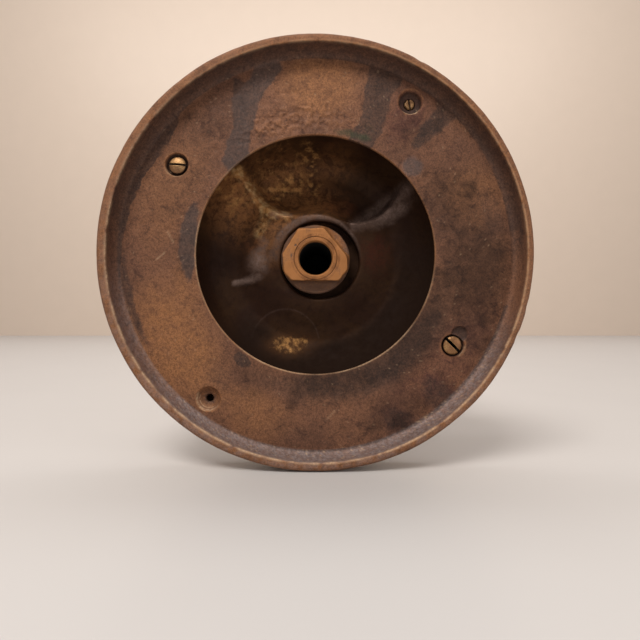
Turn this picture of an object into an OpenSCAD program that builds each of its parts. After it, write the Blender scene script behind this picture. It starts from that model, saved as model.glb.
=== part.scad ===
// Flanged bell nozzle with a shut-off cock, for a small fire hose.
// A cast face ring with a raised rim closes the front of a bell-shaped shell.
// A threaded discharge tube runs down the middle, and a hub nut on its front end
// clamps the shell to the neck. A tapered plug in the neck shuts the water off,
// and a swivel hose coupling turns on the neck's rear end.
// Turned parts are drawn along their own axis z, from the inlet mouth (z = 0)
// towards the face, and along_row() lays that axis down so that the face looks
// to -Y. Parts of the cock are drawn upright, and at_cock() puts them in place.

/* [Overall] */
// Diameter over the rim of the face
face_d = 178; // [174:1:186]
// Length from the inlet mouth to the lip of the rim
length = 172; // [170:1:180]

/* [Face ring] */
// Width of the flat lip at the front of the rim
lip_w = 3.8; // [3:0.1:5]
// Width of the hollow cove between the lip and the flat ring
cove_w = 3.1; // [2.5:0.1:4]
// Depth of the flat ring below the lip
cove_depth = 7.5; // [6:0.1:8]
// Thickness of the flat ring
ring_t = 4.5; // [4:0.1:5]
// Diameter of the opening in the middle of the ring
opening_d = 100.4; // [96:0.2:101]
// Length of the rim's outer wall from the lip to its back edge
rim_l = 18; // [16:0.5:19]

/* [Ring screws] */
// Distance from the axis to the left and right screws
screw_r_near = 69.3; // [68:0.1:71]
// Distance from the axis to the top and bottom screw holes
screw_r_far = 75.4; // [73:0.1:76]
// Direction of the left screw, anticlockwise from the right
left_deg = 147; // [140:1:155]
// Direction of the top hole, which holds a broken screw
top_deg = 58; // [50:1:65]
// Direction of the right screw
right_deg = -33.5; // [-40:0.5:-25]
// Direction of the bottom hole, which is empty
bottom_deg = 233.5; // [225:0.5:240]
// Major diameter of the screw thread
screw_d = 4.16; // [3.8:0.02:4.4]

/* [Bell shell] */
// Thickness of the shell's flange
flange_t = 5; // [4:0.5:6]
// Depth of the bowl behind the flange's front face, at its deepest
bowl_depth = 21; // [18:0.5:22]
// Radius at which the bowl is deepest
bowl_r = 36; // [34:0.5:38]
// Height of the mound round the hub above the deepest ring of the bowl
mound_h = 9; // [8:0.5:10]
// Radius of the round pocket that the hub nut sits in
pocket_r = 18; // [17:0.1:18.2]
// Sideways offset of that pocket from the axis
pocket_offset = 2; // [0:0.1:2.2]

/* [Hub and discharge tube] */
// Diameter of the water bore
bore_d = 14.6; // [12:0.1:15]
// Outside diameter of the discharge tube
tube_d = 19; // [18:0.1:20]
// Diameter of the round collar of the hub nut
collar_d = 31; // [29:0.1:32]
// Width of the hub nut across its flats
nut_af = 26.8; // [25:0.1:28]

/* [Shut-off cock] */
// Distance from the inlet mouth to the plug's axis
cock_z = 95; // [94:1:97]
// Mean radius of the tapered plug
plug_r = 12; // [11:0.1:12.5]
// Length of the lever from the plug's axis to its end
lever_l = 68; // [55:1:72]

/* [Neck and coupling] */
// Radius of the neck's journal that the swivel turns on
journal_r = 27; // [26.6:0.1:27.4]
// Running clearance between the journal and the swivel
running_gap = 0.06; // [0.04:0.01:0.08]
// Radius of the female thread's wall in the swivel
thread_r = 25.3; // [24.6:0.1:25.6]
// Length of the female thread
thread_l = 17; // [15:0.5:18]
// Outside radius of the swivel
swivel_r = 33; // [32.5:0.1:33.5]
// Diameter of the bearing balls
ball_d = 4.76; // [4.4:0.02:5]
// Number of bearing balls
ball_count = 34; // [24:1:35]
// Number of spanner lugs on the swivel
lug_count = 3; // [2:1:4]

/* [Hidden] */
$fn = 96;

// Face ring, with stations along the axis from the lip back
face_r = face_d / 2;
lip_in_r = face_r - lip_w;
ring_out_r = lip_in_r - cove_w;
ring_z = length - cove_depth;
ring_back_z = ring_z - ring_t;
rim_back_z = length - rim_l;
gasket_t = 1;
flange_z = ring_back_z - gasket_t;
flange_back_z = flange_z - flange_t;
opening_r = opening_d / 2;
edge_t = 1.2;
spigot_r = face_r - 5.8;
flange_r = spigot_r - 0.3;
bowl_edge_r = opening_r + 2.9;

// Bowl, pocket and hub
bowl_z = flange_z - bowl_depth;
crest_z = bowl_z + mound_h;
crest_r = 21;
pocket_z = crest_z - 6.5;
hub_washer_t = 1.5;
collar_h = 6;
hex_h = 5;
collar_z = pocket_z + hub_washer_t;
hub_z = collar_z + collar_h + hex_h;
seat_z = bowl_z - 6;
seat_r = 28;
tube_fit_r = tube_d / 2;
tube_hole_r = tube_fit_r + 0.25;

// Neck
neck_gasket_t = 1;
neck_front_z = seat_z - neck_gasket_t;
neck_flange_t = 6;
neck_flange_r = 26;
waist_r = 15.5;
tube_depth = 18;
tail_z = 22;
tail_bore_r = 21;
taper_z = 66;
shoulder_z = 39.6;
shoulder_t = 11;
shoulder_af = 60;
pin_r = 2;
pin_at = 19;
pin_depth = 4;
set_screw_r = 2;
set_screw_deg = -60;
set_screw_z = neck_front_z - neck_flange_t / 2;
thrust_t = 0.7;

// Shut-off cock
barrel_r = 19.5;
barrel_h = 50;
plug_gap = 0.05;
plug_slope = 0.04;
plug_collar_r = 17.5;
plug_collar_h = 5;
collar_gap = 0.3;
shank_w = 11;
stud_r = 4;
lever_z = barrel_h / 2 + collar_gap + plug_collar_h + 0.3;
lever_h = 10.4;
lever_arm_t = 6;
lever_nut_af = 13;
lever_nut_h = 7;
plug_washer_t = 2.5;
plug_nut_af = 17;
plug_nut_h = 7;
stop_pin_r = 1.5;
stop_pin_at = 15;
stop_pin_deg = 225;
stop_margin_deg = 1;

// Swivel
swivel_l = 38.5;
swivel_bore_r = journal_r + running_gap;
race_z = 30;
race_r = journal_r + running_gap / 2;
ball_r = ball_d / 2;
race_groove_r = ball_r + 0.05;
lug_z = 13;
lug_r = 4.5;
lug_root_r = 29.6;
lug_tip_r = 41;
filler_deg = 40;
filler_r = 3;
washer_gap = 0.15;

// Ring screws
screw_r = screw_d / 2;
clear_r = screw_r + 0.3;
head_r_left = 3.8;
head_r_right = 4.2;
head_h = 2.6;
counterbore_r = 4.65;
counterbore_depth = 2.8;
nick_r = 3.4;
nick_depth = 1.2;
nick_deg = 60;
nick_at = 5.5;
boss_r = 6.5;
boss_h = 4;
boss_end_t = 1.5;
slot_w = 1.1;
slot_depth = 1.2;
screw_l = ring_z - counterbore_depth - flange_back_z + 1.5;

// Colours
CAST = "#7d5a3f";
BRASS = "#b58a52";
DARK_CAST = "#4a3326";
LEATHER = "#5b3b2a";
RUBBER = "#2a2a2a";
STEEL = "#8d8d8d";

function at(deg, r) = [r * cos(deg), r * sin(deg)];
function ellipse_arc(c, a, b, from, to, steps) = [
    for (i = [0:steps])
        let (t = from + (to - from) * i / steps) [c[0] + a * cos(t), c[1] + b * sin(t)]
];
function reversed(list) = [for (i = [len(list) - 1:-1:0]) list[i]];
// Height of the bowl's inner surface at radius r
function bowl_height(r) =
    r >= bowl_r
        ? bowl_z + bowl_depth * pow((r - bowl_r) / (bowl_edge_r - bowl_r), 2.4)
        : bowl_z + mound_h * (0.5 + 0.5 * cos(180 * (r - crest_r) / (bowl_r - crest_r)));

// Lays the nozzle's axis down: z goes to -Y and y goes to +Z
module along_row() { rotate([90, 0, 0]) children(); }

// Moves upright parts to the cock's axis
module at_cock() { translate([0, -cock_z, 0]) children(); }

module place(deg, r, z) { translate([at(deg, r)[0], at(deg, r)[1], z]) children(); }

// Puts its children, drawn along z, on the ray that leaves the axis at deg
module radial(deg, z) { rotate([0, 0, deg]) translate([0, 0, z]) rotate([0, 90, 0]) children(); }

module tube(r_out, r_in, z0, z1) {
    difference() {
        translate([0, 0, z0]) cylinder(r = r_out, h = z1 - z0);
        translate([0, 0, z0 - 1]) cylinder(r = r_in, h = z1 - z0 + 2);
    }
}

module hex_nut(af, h, hole_r) {
    difference() {
        intersection() {
            cylinder(d = af / cos(30), h = h, $fn = 6);
            cylinder(d1 = af * 2.1, d2 = af * 1.02, h = h);
        }
        translate([0, 0, -1]) cylinder(r = hole_r, h = h + 2);
    }
}

module all_four_screw_places(z) {
    place(left_deg, screw_r_near, z) children();
    place(top_deg, screw_r_far, z) children();
    place(right_deg, screw_r_near, z) children();
    place(bottom_deg, screw_r_far, z) children();
}

module face_ring() {
    rim_round = 2;
    band_in = 0.8;
    profile = concat(
        [[opening_r, ring_z], [opening_r, ring_z - edge_t], [bowl_edge_r, ring_back_z],
         [spigot_r, ring_back_z], [spigot_r, rim_back_z], [face_r - band_in, rim_back_z],
         [face_r - band_in, length - 9], [face_r, length - 8]],
        ellipse_arc([face_r - rim_round, length - rim_round], rim_round, rim_round, 0, 90, 6),
        ellipse_arc([ring_out_r, length], cove_w, cove_depth, 0, -90, 10)
    );
    nick = at(nick_deg, nick_at);
    color(CAST) along_row() difference() {
        rotate_extrude() polygon(profile);
        all_four_screw_places(ring_z - counterbore_depth)
            cylinder(r = counterbore_r, h = counterbore_depth + 1);
        all_four_screw_places(ring_back_z - 1) cylinder(r = clear_r, h = ring_t + 1);
        place(right_deg, screw_r_near, ring_z - nick_depth)
            translate([nick[0], nick[1], 0]) cylinder(r = nick_r, h = nick_depth + 1);
    }
}

module ring_gasket() {
    color(LEATHER) along_row() difference() {
        tube(flange_r - 1, bowl_edge_r + 0.6, flange_z, ring_back_z);
        all_four_screw_places(flange_z - 1) cylinder(r = clear_r, h = gasket_t + 2);
    }
}

module bell_shell() {
    bowl_steps = 9;
    mound_steps = 8;
    dome_w = 36;
    inner = concat(
        [for (i = [0:bowl_steps])
            let (r = bowl_edge_r + (bowl_r - bowl_edge_r) * i / bowl_steps) [r, bowl_height(r)]],
        [for (i = [1:mound_steps])
            let (r = bowl_r + (crest_r - bowl_r) * i / mound_steps) [r, bowl_height(r)]]
    );
    dome = ellipse_arc([seat_r, flange_back_z], dome_w, flange_back_z - seat_z, 0, -90, 12);
    profile = concat(
        inner, [[tube_hole_r, crest_z], [tube_hole_r, seat_z]], reversed(dome),
        [[flange_r, flange_back_z], [flange_r, flange_z]]
    );
    color(DARK_CAST) along_row() difference() {
        union() {
            rotate_extrude() polygon(profile);
            all_four_screw_places(flange_back_z - boss_h) cylinder(r = boss_r, h = boss_h + 1);
        }
        translate([pocket_offset, 0, pocket_z]) cylinder(r = pocket_r, h = 20);
        all_four_screw_places(flange_back_z - boss_h + boss_end_t)
            cylinder(r = screw_r, h = boss_h + flange_t);
        place(90, pin_at, seat_z - 1) cylinder(r = pin_r, h = pin_depth + 1);
    }
}

// A slotted pan-head screw with its head's underside at z = 0
module slotted_screw(head_r, slot_deg) {
    bevel = 0.8;
    difference() {
        union() {
            cylinder(r = head_r, h = head_h - bevel);
            translate([0, 0, head_h - bevel])
                cylinder(r1 = head_r, r2 = head_r - bevel, h = bevel);
            translate([0, 0, -screw_l]) cylinder(r = screw_r, h = screw_l + 1);
        }
        rotate([0, 0, slot_deg]) translate([-head_r - 1, -slot_w / 2, head_h - slot_depth])
            cube([2 * head_r + 2, slot_w, slot_depth + 1]);
    }
}

module left_ring_screw() {
    color(BRASS) along_row() place(left_deg, screw_r_near, ring_z - counterbore_depth)
        slotted_screw(head_r_left, 0);
}

module right_ring_screw() {
    color(BRASS) along_row() place(right_deg, screw_r_near, ring_z - counterbore_depth)
        slotted_screw(head_r_right, -45);
}

module broken_screw_stub() {
    chamfer = 0.5;
    stub_l = screw_l + 0.6;
    stub_z = ring_z - counterbore_depth - screw_l;
    color(BRASS) along_row() place(top_deg, screw_r_far, stub_z) {
        cylinder(r = screw_r, h = stub_l - chamfer);
        translate([0, 0, stub_l - chamfer])
            cylinder(r1 = screw_r, r2 = screw_r - chamfer, h = chamfer);
    }
}

module hub_nut() {
    nut_h = collar_h + hex_h;
    step = 1;
    color(BRASS) along_row() translate([0, 0, collar_z]) difference() {
        union() {
            cylinder(d = collar_d, h = collar_h);
            intersection() {
                translate([0, 0, step]) cylinder(d = collar_d - 0.6, h = nut_h - step);
                translate([0, 0, step]) cylinder(d = nut_af / cos(30), h = nut_h - step, $fn = 6);
                cylinder(d1 = collar_d + 20, d2 = collar_d - 1.4, h = nut_h);
            }
        }
        translate([0, 0, -1]) cylinder(r = tube_fit_r, h = nut_h + 2);
    }
}

module hub_washer() {
    color(LEATHER) along_row() tube(collar_d / 2 - 0.4, tube_hole_r, pocket_z, collar_z);
}

module discharge_tube() {
    chamfer = 0.8;
    front_z = hub_z - 0.2;
    color(BRASS) along_row() difference() {
        tube(tube_fit_r, bore_d / 2, neck_front_z - tube_depth, front_z);
        translate([0, 0, front_z - chamfer])
            cylinder(r1 = bore_d / 2, r2 = bore_d / 2 + chamfer + 0.1, h = chamfer + 0.1);
    }
}

module neck_gasket() {
    color(LEATHER) along_row() difference() {
        tube(neck_flange_r - 1.5, tube_hole_r, neck_front_z, seat_z);
        place(90, pin_at, neck_front_z - 1) cylinder(r = pin_r + 0.1, h = neck_gasket_t + 2);
    }
}

module locating_pin() {
    color(STEEL) along_row() place(90, pin_at, neck_front_z - pin_depth)
        cylinder(r = pin_r, h = 2 * pin_depth + neck_gasket_t - 0.3);
}

// The tapered hole or, with a gap, the plug that fits it, standing upright
module taper(gap, h0, h1) {
    translate([0, 0, h0])
        cylinder(r1 = plug_r + plug_slope * h0 - gap, r2 = plug_r + plug_slope * h1 - gap,
                 h = h1 - h0);
}

module neck_body() {
    cone_r = 27.5;
    cone_end_z = cock_z - 16;
    flange_z0 = neck_front_z - neck_flange_t;
    waist_l = 5;
    thread_z = neck_front_z - tube_depth;
    outer = concat(
        [[0, tail_z], [journal_r - 1, tail_z], [journal_r, tail_z + 1],
         [journal_r, shoulder_z + 1], [cone_r, shoulder_z + 1],
         [cone_r, shoulder_z + shoulder_t], [waist_r + 1.5, cone_end_z],
         [waist_r, flange_z0 - waist_l]],
        ellipse_arc([neck_flange_r - 2, flange_z0 - waist_l], waist_r - neck_flange_r + 2,
                    waist_l - 0.01, 0, 90, 6),
        [[neck_flange_r, flange_z0], [neck_flange_r, neck_front_z], [0, neck_front_z]]
    );
    waterway = [[0, tail_z - 1], [tail_bore_r, tail_z - 1], [tail_bore_r, tail_z + 6],
                [bore_d / 2, taper_z], [bore_d / 2, thread_z], [tube_fit_r, thread_z],
                [tube_fit_r, neck_front_z + 1], [0, neck_front_z + 1]];
    color(CAST) difference() {
        union() {
            along_row() {
                rotate_extrude() polygon(outer);
                translate([0, 0, shoulder_z]) rotate([0, 0, 22.5])
                    cylinder(d = shoulder_af / cos(22.5), h = shoulder_t, $fn = 8);
            }
            at_cock() translate([0, 0, -barrel_h / 2]) cylinder(r = barrel_r, h = barrel_h);
        }
        at_cock() {
            taper(0, -barrel_h / 2 - 1, barrel_h / 2 + 1);
            place(stop_pin_deg, stop_pin_at, barrel_h / 2 - 3) cylinder(r = stop_pin_r, h = 4);
        }
        along_row() {
            rotate_extrude() polygon(waterway);
            rotate_extrude() translate([race_r, race_z]) circle(r = race_groove_r);
            place(90, pin_at, neck_front_z - pin_depth) cylinder(r = pin_r, h = pin_depth + 1);
            radial(set_screw_deg, set_screw_z) cylinder(r = set_screw_r, h = neck_flange_r + 2);
        }
    }
}

module tube_set_screw() {
    set_screw_l = 10;
    color(STEEL) along_row() radial(set_screw_deg, set_screw_z) difference() {
        translate([0, 0, tube_fit_r + 0.05]) cylinder(r = set_screw_r, h = set_screw_l);
        translate([-set_screw_r - 1, -0.4, tube_fit_r + set_screw_l - 0.9])
            cube([2 * set_screw_r + 2, 0.8, 2]);
    }
}

module stop_pin() {
    color(STEEL) at_cock() place(stop_pin_deg, stop_pin_at, barrel_h / 2 - 3)
        cylinder(r = stop_pin_r, h = 3 + plug_collar_h - 0.5);
}

// The plug is shut: its port lies across the waterway, along X
module cock_plug() {
    top = barrel_h / 2;
    collar_top = top + collar_gap + plug_collar_h;
    stop_deg = asin(stop_pin_r / stop_pin_at) + stop_margin_deg;
    notch_deg = 90 + 2 * stop_deg;
    square_h = lever_h - 0.4;
    color(BRASS) at_cock() difference() {
        union() {
            taper(plug_gap, 0.4 - top, top + collar_gap);
            translate([0, 0, top + collar_gap]) cylinder(r = plug_collar_r, h = plug_collar_h);
            translate([-shank_w / 2, -shank_w / 2, collar_top - 1])
                cube([shank_w, shank_w, square_h + 1.3]);
            translate([0, 0, collar_top]) cylinder(r = stud_r, h = lever_h + lever_nut_h + 1.5);
            translate([0, 0, -top - plug_washer_t - plug_nut_h - 2])
                cylinder(r = stud_r, h = plug_washer_t + plug_nut_h + 4);
        }
        rotate([0, 90, 0]) cylinder(d = bore_d, h = 60, center = true);
        translate([0, 0, top - 1]) rotate([0, 0, stop_pin_deg - 90 - stop_deg])
            rotate_extrude(angle = notch_deg) translate([stop_pin_at - stop_pin_r - 0.4, 0])
                square([10, plug_collar_h + 3]);
    }
}

// Outline of the lever seen from above, from its eye to its rounded end
module lever_outline() {
    hub_r = 12;
    knob_r = 7;
    arm_w0 = 12;
    arm_w1 = 8;
    circle(r = hub_r);
    polygon([[0, -arm_w0 / 2], [lever_l - knob_r, -arm_w1 / 2],
             [lever_l - knob_r, arm_w1 / 2], [0, arm_w0 / 2]]);
    translate([lever_l - knob_r, 0]) circle(r = knob_r);
}

module cock_lever() {
    square_gap = 0.05;
    color(CAST) at_cock() translate([0, 0, lever_z]) difference() {
        union() {
            cylinder(r = 12, h = lever_h);
            translate([0, 0, lever_h - lever_arm_t]) linear_extrude(lever_arm_t) lever_outline();
        }
        translate([-shank_w / 2 - square_gap, -shank_w / 2 - square_gap, -1])
            cube([shank_w + 2 * square_gap, shank_w + 2 * square_gap, lever_h + 2]);
    }
}

module lever_nut() {
    color(BRASS) at_cock() translate([0, 0, lever_z + lever_h])
        hex_nut(lever_nut_af, lever_nut_h, stud_r);
}

module plug_washer() {
    color(BRASS) at_cock() translate([0, 0, -barrel_h / 2 - collar_gap - plug_washer_t])
        tube(14, stud_r + 0.05, 0, plug_washer_t);
}

module plug_nut() {
    color(BRASS) at_cock() rotate([180, 0, 0])
        translate([0, 0, barrel_h / 2 + collar_gap + plug_washer_t])
            hex_nut(plug_nut_af, plug_nut_h, stud_r);
}

module thrust_washer() {
    color(LEATHER) along_row()
        tube(shoulder_af / 2 - 0.3, journal_r + 0.1, shoulder_z - thrust_t, shoulder_z);
}

module swivel_coupling() {
    band_z = 23;
    outer = [[swivel_r - 2.6, 0], [swivel_r - 1.2, 1.4], [swivel_r - 1.2, band_z - 1],
             [swivel_r, band_z], [swivel_r, swivel_l - 1.5], [swivel_r - 1.5, swivel_l]];
    inner = [[swivel_bore_r, swivel_l], [swivel_bore_r, thread_l], [thread_r, thread_l],
             [thread_r, 0]];
    color(CAST) along_row() difference() {
        rotate_extrude() polygon(concat(outer, inner));
        rotate_extrude() translate([race_r, race_z]) circle(r = race_groove_r);
        for (i = [0:lug_count - 1]) radial(90 + 360 * i / lug_count, lug_z)
            translate([0, 0, lug_root_r]) cylinder(r = lug_r, h = 10);
        radial(filler_deg, race_z) translate([0, 0, race_r + 1]) cylinder(r = filler_r, h = 10);
    }
}

module spanner_lugs() {
    lug_l = lug_tip_r - lug_root_r;
    tip_round = 1.6;
    color(CAST) along_row() for (i = [0:lug_count - 1])
        radial(90 + 360 * i / lug_count, lug_z) translate([0, 0, lug_root_r])
            rotate_extrude() polygon(concat(
                [[0, 0], [lug_r, 0]],
                ellipse_arc([lug_r - tip_round, lug_l - tip_round], tip_round, tip_round, 0, 90, 5),
                [[0, lug_l]]
            ));
}

module bearing_balls() {
    color(STEEL) along_row() for (i = [0:ball_count - 1])
        place(360 * i / ball_count, race_r, race_z) sphere(r = ball_r, $fn = 32);
}

module ball_plug() {
    inner_end_r = race_r + race_groove_r;
    color(BRASS) along_row() radial(filler_deg, race_z) difference() {
        translate([0, 0, inner_end_r]) cylinder(r = filler_r, h = swivel_r - inner_end_r - 0.4);
        translate([-filler_r - 1, -0.5, swivel_r - 1.4]) cube([2 * filler_r + 2, 1, 3]);
    }
}

module hose_washer() {
    color(RUBBER) along_row()
        tube(swivel_bore_r - 0.2, tail_bore_r - 0.5, thread_l + washer_gap, tail_z - washer_gap);
}

face_ring();
ring_gasket();
bell_shell();
left_ring_screw();
right_ring_screw();
broken_screw_stub();
hub_nut();
hub_washer();
discharge_tube();
neck_gasket();
locating_pin();
neck_body();
tube_set_screw();
stop_pin();
cock_plug();
cock_lever();
lever_nut();
plug_washer();
plug_nut();
thrust_washer();
swivel_coupling();
spanner_lugs();
bearing_balls();
ball_plug();
hose_washer();
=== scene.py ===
import functools
import math

import bpy
import numpy as np
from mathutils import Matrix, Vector


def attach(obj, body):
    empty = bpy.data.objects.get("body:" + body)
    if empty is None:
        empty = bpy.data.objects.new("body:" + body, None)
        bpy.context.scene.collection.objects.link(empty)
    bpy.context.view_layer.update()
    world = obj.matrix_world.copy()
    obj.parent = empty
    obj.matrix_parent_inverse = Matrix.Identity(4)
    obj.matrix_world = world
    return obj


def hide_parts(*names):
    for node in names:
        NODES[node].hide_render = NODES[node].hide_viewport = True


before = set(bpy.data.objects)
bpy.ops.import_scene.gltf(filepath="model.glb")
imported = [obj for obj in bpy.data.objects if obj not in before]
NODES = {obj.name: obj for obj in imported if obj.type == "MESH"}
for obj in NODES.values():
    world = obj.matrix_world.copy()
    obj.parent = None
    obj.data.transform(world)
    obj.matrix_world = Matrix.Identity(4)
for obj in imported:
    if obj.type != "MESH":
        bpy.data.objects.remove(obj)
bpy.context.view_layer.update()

MM = 0.001
TAU = 2 * math.pi
AXIS_R = 0.001  # stands for the axis where a turned body's profile ends

# Stations are millimetres from the inlet mouth along the nozzle's axis, as in the CAD model.
# Angles are degrees anticlockwise from the right, as seen from the front.
LIP_S, RING_S, RING_BACK_S, FLANGE_S, FLANGE_BACK_S = 172.0, 164.5, 160.0, 159.0, 154.0
OPENING_R, BOWL_EDGE_R, SPIGOT_R, FLANGE_R, FACE_R = 50.2, 53.1, 83.2, 82.9, 89.0
COVE_IN_R, LIP_IN_R, COVE_SHIFT = 82.1, 85.2, 0.6
SCREWS = {"left": (147.0, 69.3), "top": (58.0, 75.4), "right": (-33.5, 69.3), "bottom": (233.5, 75.4)}
HEAD_FLOOR_S, RECESS_R, THREAD_R, THREAD_ROOT_R, THREAD_PITCH = 161.7, 4.65, 2.08, 1.78, 0.79
NICK_DEG, NICK_OFF = 60.0, 5.5
HUB_S, TUBE_R, TUBE_BORE_R, CLAMP_S = 153.0, 9.5, 7.3, 113.0
PIN_R, PIN_UP = 2.0, 19.0
COCK_S = 95.0
JOURNAL_R, RACE_R, BALL_R, RACE_S = 27.0, 27.03, 2.43, 30.0
LUG_DEG, LUG_S, LUG_R, SWIVEL_WALL_R = (90, 210, 330), 13.0, 4.5, 31.8
COLLAR_S, COLLAR_TOP_S, STUD_R = 25.3, 30.3, 4.0


# ---------------------------------------------------------------- numbers
def smooth(lo, hi, x):
    t = np.clip((np.asarray(x, float) - lo) / (hi - lo), 0, 1)
    return t * t * (3 - 2 * t)


def hashed(ix, iy, iz, seed):
    n = (ix * 374761393 + iy * 668265263 + iz * 1442695041 + seed * 362437) & 0xFFFFFFFF
    n = ((n ^ (n >> 13)) * 1274126177) & 0xFFFFFFFF
    n = ((n ^ (n >> 15)) * 2246822519) & 0xFFFFFFFF
    return ((n ^ (n >> 16)) & 0xFFFFFF) / float(0xFFFFFF)


def noise(p, size, seed=0, octaves=1, gain=0.5):
    """Smooth noise from -1 to 1 at points p in millimetres, with features of about size."""
    total, weight, amp = 0.0, 0.0, 1.0
    for o in range(octaves):
        q = np.asarray(p, float) / size * (2.03 ** o) + 17.3 * o
        base = np.floor(q).astype(np.int64)
        f = q - base
        f = f * f * f * (f * (f * 6 - 15) + 10)
        value = 0.0
        for dx in (0, 1):
            for dy in (0, 1):
                for dz in (0, 1):
                    w = np.ones(len(q))
                    for axis, d in ((0, dx), (1, dy), (2, dz)):
                        w = w * (f[:, axis] if d else 1 - f[:, axis])
                    value = value + w * hashed(base[:, 0] + dx, base[:, 1] + dy, base[:, 2] + dz, seed + o)
        total = total + amp * (value * 2 - 1)
        weight += amp
        amp *= gain
    return total / weight


def angle_diff(a, b):
    return (np.asarray(a, float) - b + 180) % 360 - 180


def cosd(deg):
    return np.cos(np.radians(deg))


def sind(deg):
    return np.sin(np.radians(deg))


def bell_curve(x, width):
    return np.exp(-(x / width) ** 2)


def most(*masks):
    """The largest of several masks at each vertex."""
    return functools.reduce(np.maximum, masks)


# ---------------------------------------------------------------- meshes
def point(u, v, s):
    """Row-frame millimetres from right, up and station."""
    return np.stack([u, -s, v], -1)


def build(name, co, faces):
    mesh = bpy.data.meshes.new(name)
    mesh.from_pydata((np.asarray(co, float) * MM).tolist(), [], faces)
    mesh.validate()
    obj = bpy.data.objects.new(name, mesh)
    bpy.context.scene.collection.objects.link(obj)
    orient(obj)
    return obj


def orient(obj):
    mesh = obj.data
    mesh.calc_loop_triangles()
    co = coords(mesh)
    tri = np.empty(len(mesh.loop_triangles) * 3, np.int32)
    mesh.loop_triangles.foreach_get("vertices", tri)
    a, b, c = (co[tri.reshape(-1, 3)[:, k]] for k in range(3))
    if (np.cross(a, b) * c).sum() < 0:
        mesh.flip_normals()


def coords(mesh):
    co = np.empty(len(mesh.vertices) * 3, np.float32)
    mesh.vertices.foreach_get("co", co)
    return co.reshape(-1, 3).astype(float)


def set_coords(mesh, co):
    mesh.vertices.foreach_set("co", np.asarray(co, np.float32).ravel())
    mesh.update()


def upright(u, v, s):
    """Row-frame millimetres from right, back and height about the cock's axis."""
    return np.stack([u, v - COCK_S, s], -1)


def radial(deg, station):
    """The frame of a part that points out from the nozzle's axis at deg."""
    c, q = cosd(deg), sind(deg)
    return lambda u, v, s: point(s * c - u * q, s * q + u * c, station + v)


def lathe(name, radius, station, centre=(0.0, 0.0), closed=True, where=point):
    """A turned body from arrays [angle, row] of radius and station. Rows run right round a closed
    profile, or from pole to pole when it isn't closed."""
    n, rows = radius.shape
    th = np.arange(n) / n * TAU
    u = radius * np.cos(th)[:, None] + centre[0]
    v = radius * np.sin(th)[:, None] + centre[1]
    co = where(u, v, station).reshape(-1, 3)
    i = np.arange(n)[:, None]
    k = np.arange(rows if closed else rows - 1)[None, :]
    i1, k1 = (i + 1) % n, (k + 1) % rows
    quads = np.stack([i * rows + k, i1 * rows + k, i1 * rows + k1, i * rows + k1], -1).reshape(-1,
                                                                                               4).tolist()
    if not closed:
        quads.append([int(a * rows) for a in range(n)])
        quads.append([int(a * rows + rows - 1) for a in range(n)])
    return build(name, co, quads)


def turned(name, profile, n=96, centre=(0.0, 0.0), closed=True, where=point):
    """A plain turned body from (radius, station) pairs."""
    p = np.asarray(profile, float)
    return lathe(name, np.tile(p[:, 0], (n, 1)), np.tile(p[:, 1], (n, 1)), centre, closed, where)


def spun(name, profile, n=96, centre=(0.0, 0.0), where=point):
    """A solid turned body. The profile runs from the axis back to the axis."""
    radius, station = np.asarray(profile[1:-1], float).T
    rows = len(radius)
    th = (np.arange(n) / n * TAU)[:, None]
    body = where(radius * np.cos(th) + centre[0], radius * np.sin(th) + centre[1], np.tile(station, (n, 1)))
    ends = np.array([profile[0][1], profile[-1][1]], float)
    poles = where(np.full(2, centre[0]), np.full(2, centre[1]), ends)
    i, k = np.arange(n)[:, None], np.arange(rows - 1)[None, :]
    here, beside = i * rows + k, (i + 1) % n * rows + k
    faces = np.stack([here, beside, beside + 1, here + 1], -1).reshape(-1, 4).tolist()
    faces += [(n * rows, (a + 1) % n * rows, a * rows) for a in range(n)]
    faces += [(n * rows + 1, a * rows + rows - 1, (a + 1) % n * rows + rows - 1) for a in range(n)]
    return build(name, np.concatenate([body.reshape(-1, 3), poles]), faces)


def prism(name, outline, lo, hi, where=point):
    """A straight prism over an outline of (u, v) pairs."""
    u, v = np.asarray(outline, float).T
    n = len(u)
    co = np.concatenate([where(u, v, np.full(n, float(lo))), where(u, v, np.full(n, float(hi)))])
    sides = [(i, (i + 1) % n, n + (i + 1) % n, n + i) for i in range(n)]
    return build(name, co, [tuple(range(n - 1, -1, -1)), tuple(range(n, 2 * n))] + sides)


def block(name, lo, hi):
    """A box between two row-frame corners in millimetres."""
    outline = [(lo[0], -hi[1]), (hi[0], -hi[1]), (hi[0], -lo[1]), (lo[0], -lo[1])]
    return prism(name, outline, lo[2], hi[2], lambda u, v, s: np.stack([u, -v, s], -1))


def joined(name, parts):
    """One object from several, which are used up."""
    co, faces, start = [], [], 0
    for part in parts:
        co.append(coords(part.data) / MM)
        faces += [tuple(start + k for k in f.vertices) for f in part.data.polygons]
        start += len(co[-1])
        bpy.data.objects.remove(part)
    return build(name, np.concatenate(co), faces)


def cast_solid(name, parts, pitch, rounds):
    """Runs the parts together and rounds every inner and outer corner, as in a sand casting."""
    obj = joined(name, parts)
    m = obj.modifiers.new("remesh", "REMESH")
    m.mode, m.voxel_size = "VOXEL", pitch * MM
    m = obj.modifiers.new("soften", "SMOOTH")
    m.factor, m.iterations = 0.5, rounds
    apply_modifiers(obj)
    return obj


def normals(mesh):
    n = np.empty(len(mesh.vertices) * 3, np.float32)
    mesh.vertices.foreach_get("normal", n)
    return n.reshape(-1, 3).astype(float)


def roughened(obj, *waves):
    """Moves the surface along its normals by noise waves of (height, size, seed)."""
    co = coords(obj.data) / MM
    lift = sum(height * noise(co, size, seed, 2) for height, size, seed in waves)
    set_coords(obj.data, (co + normals(obj.data) * lift[:, None]) * MM)


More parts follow.
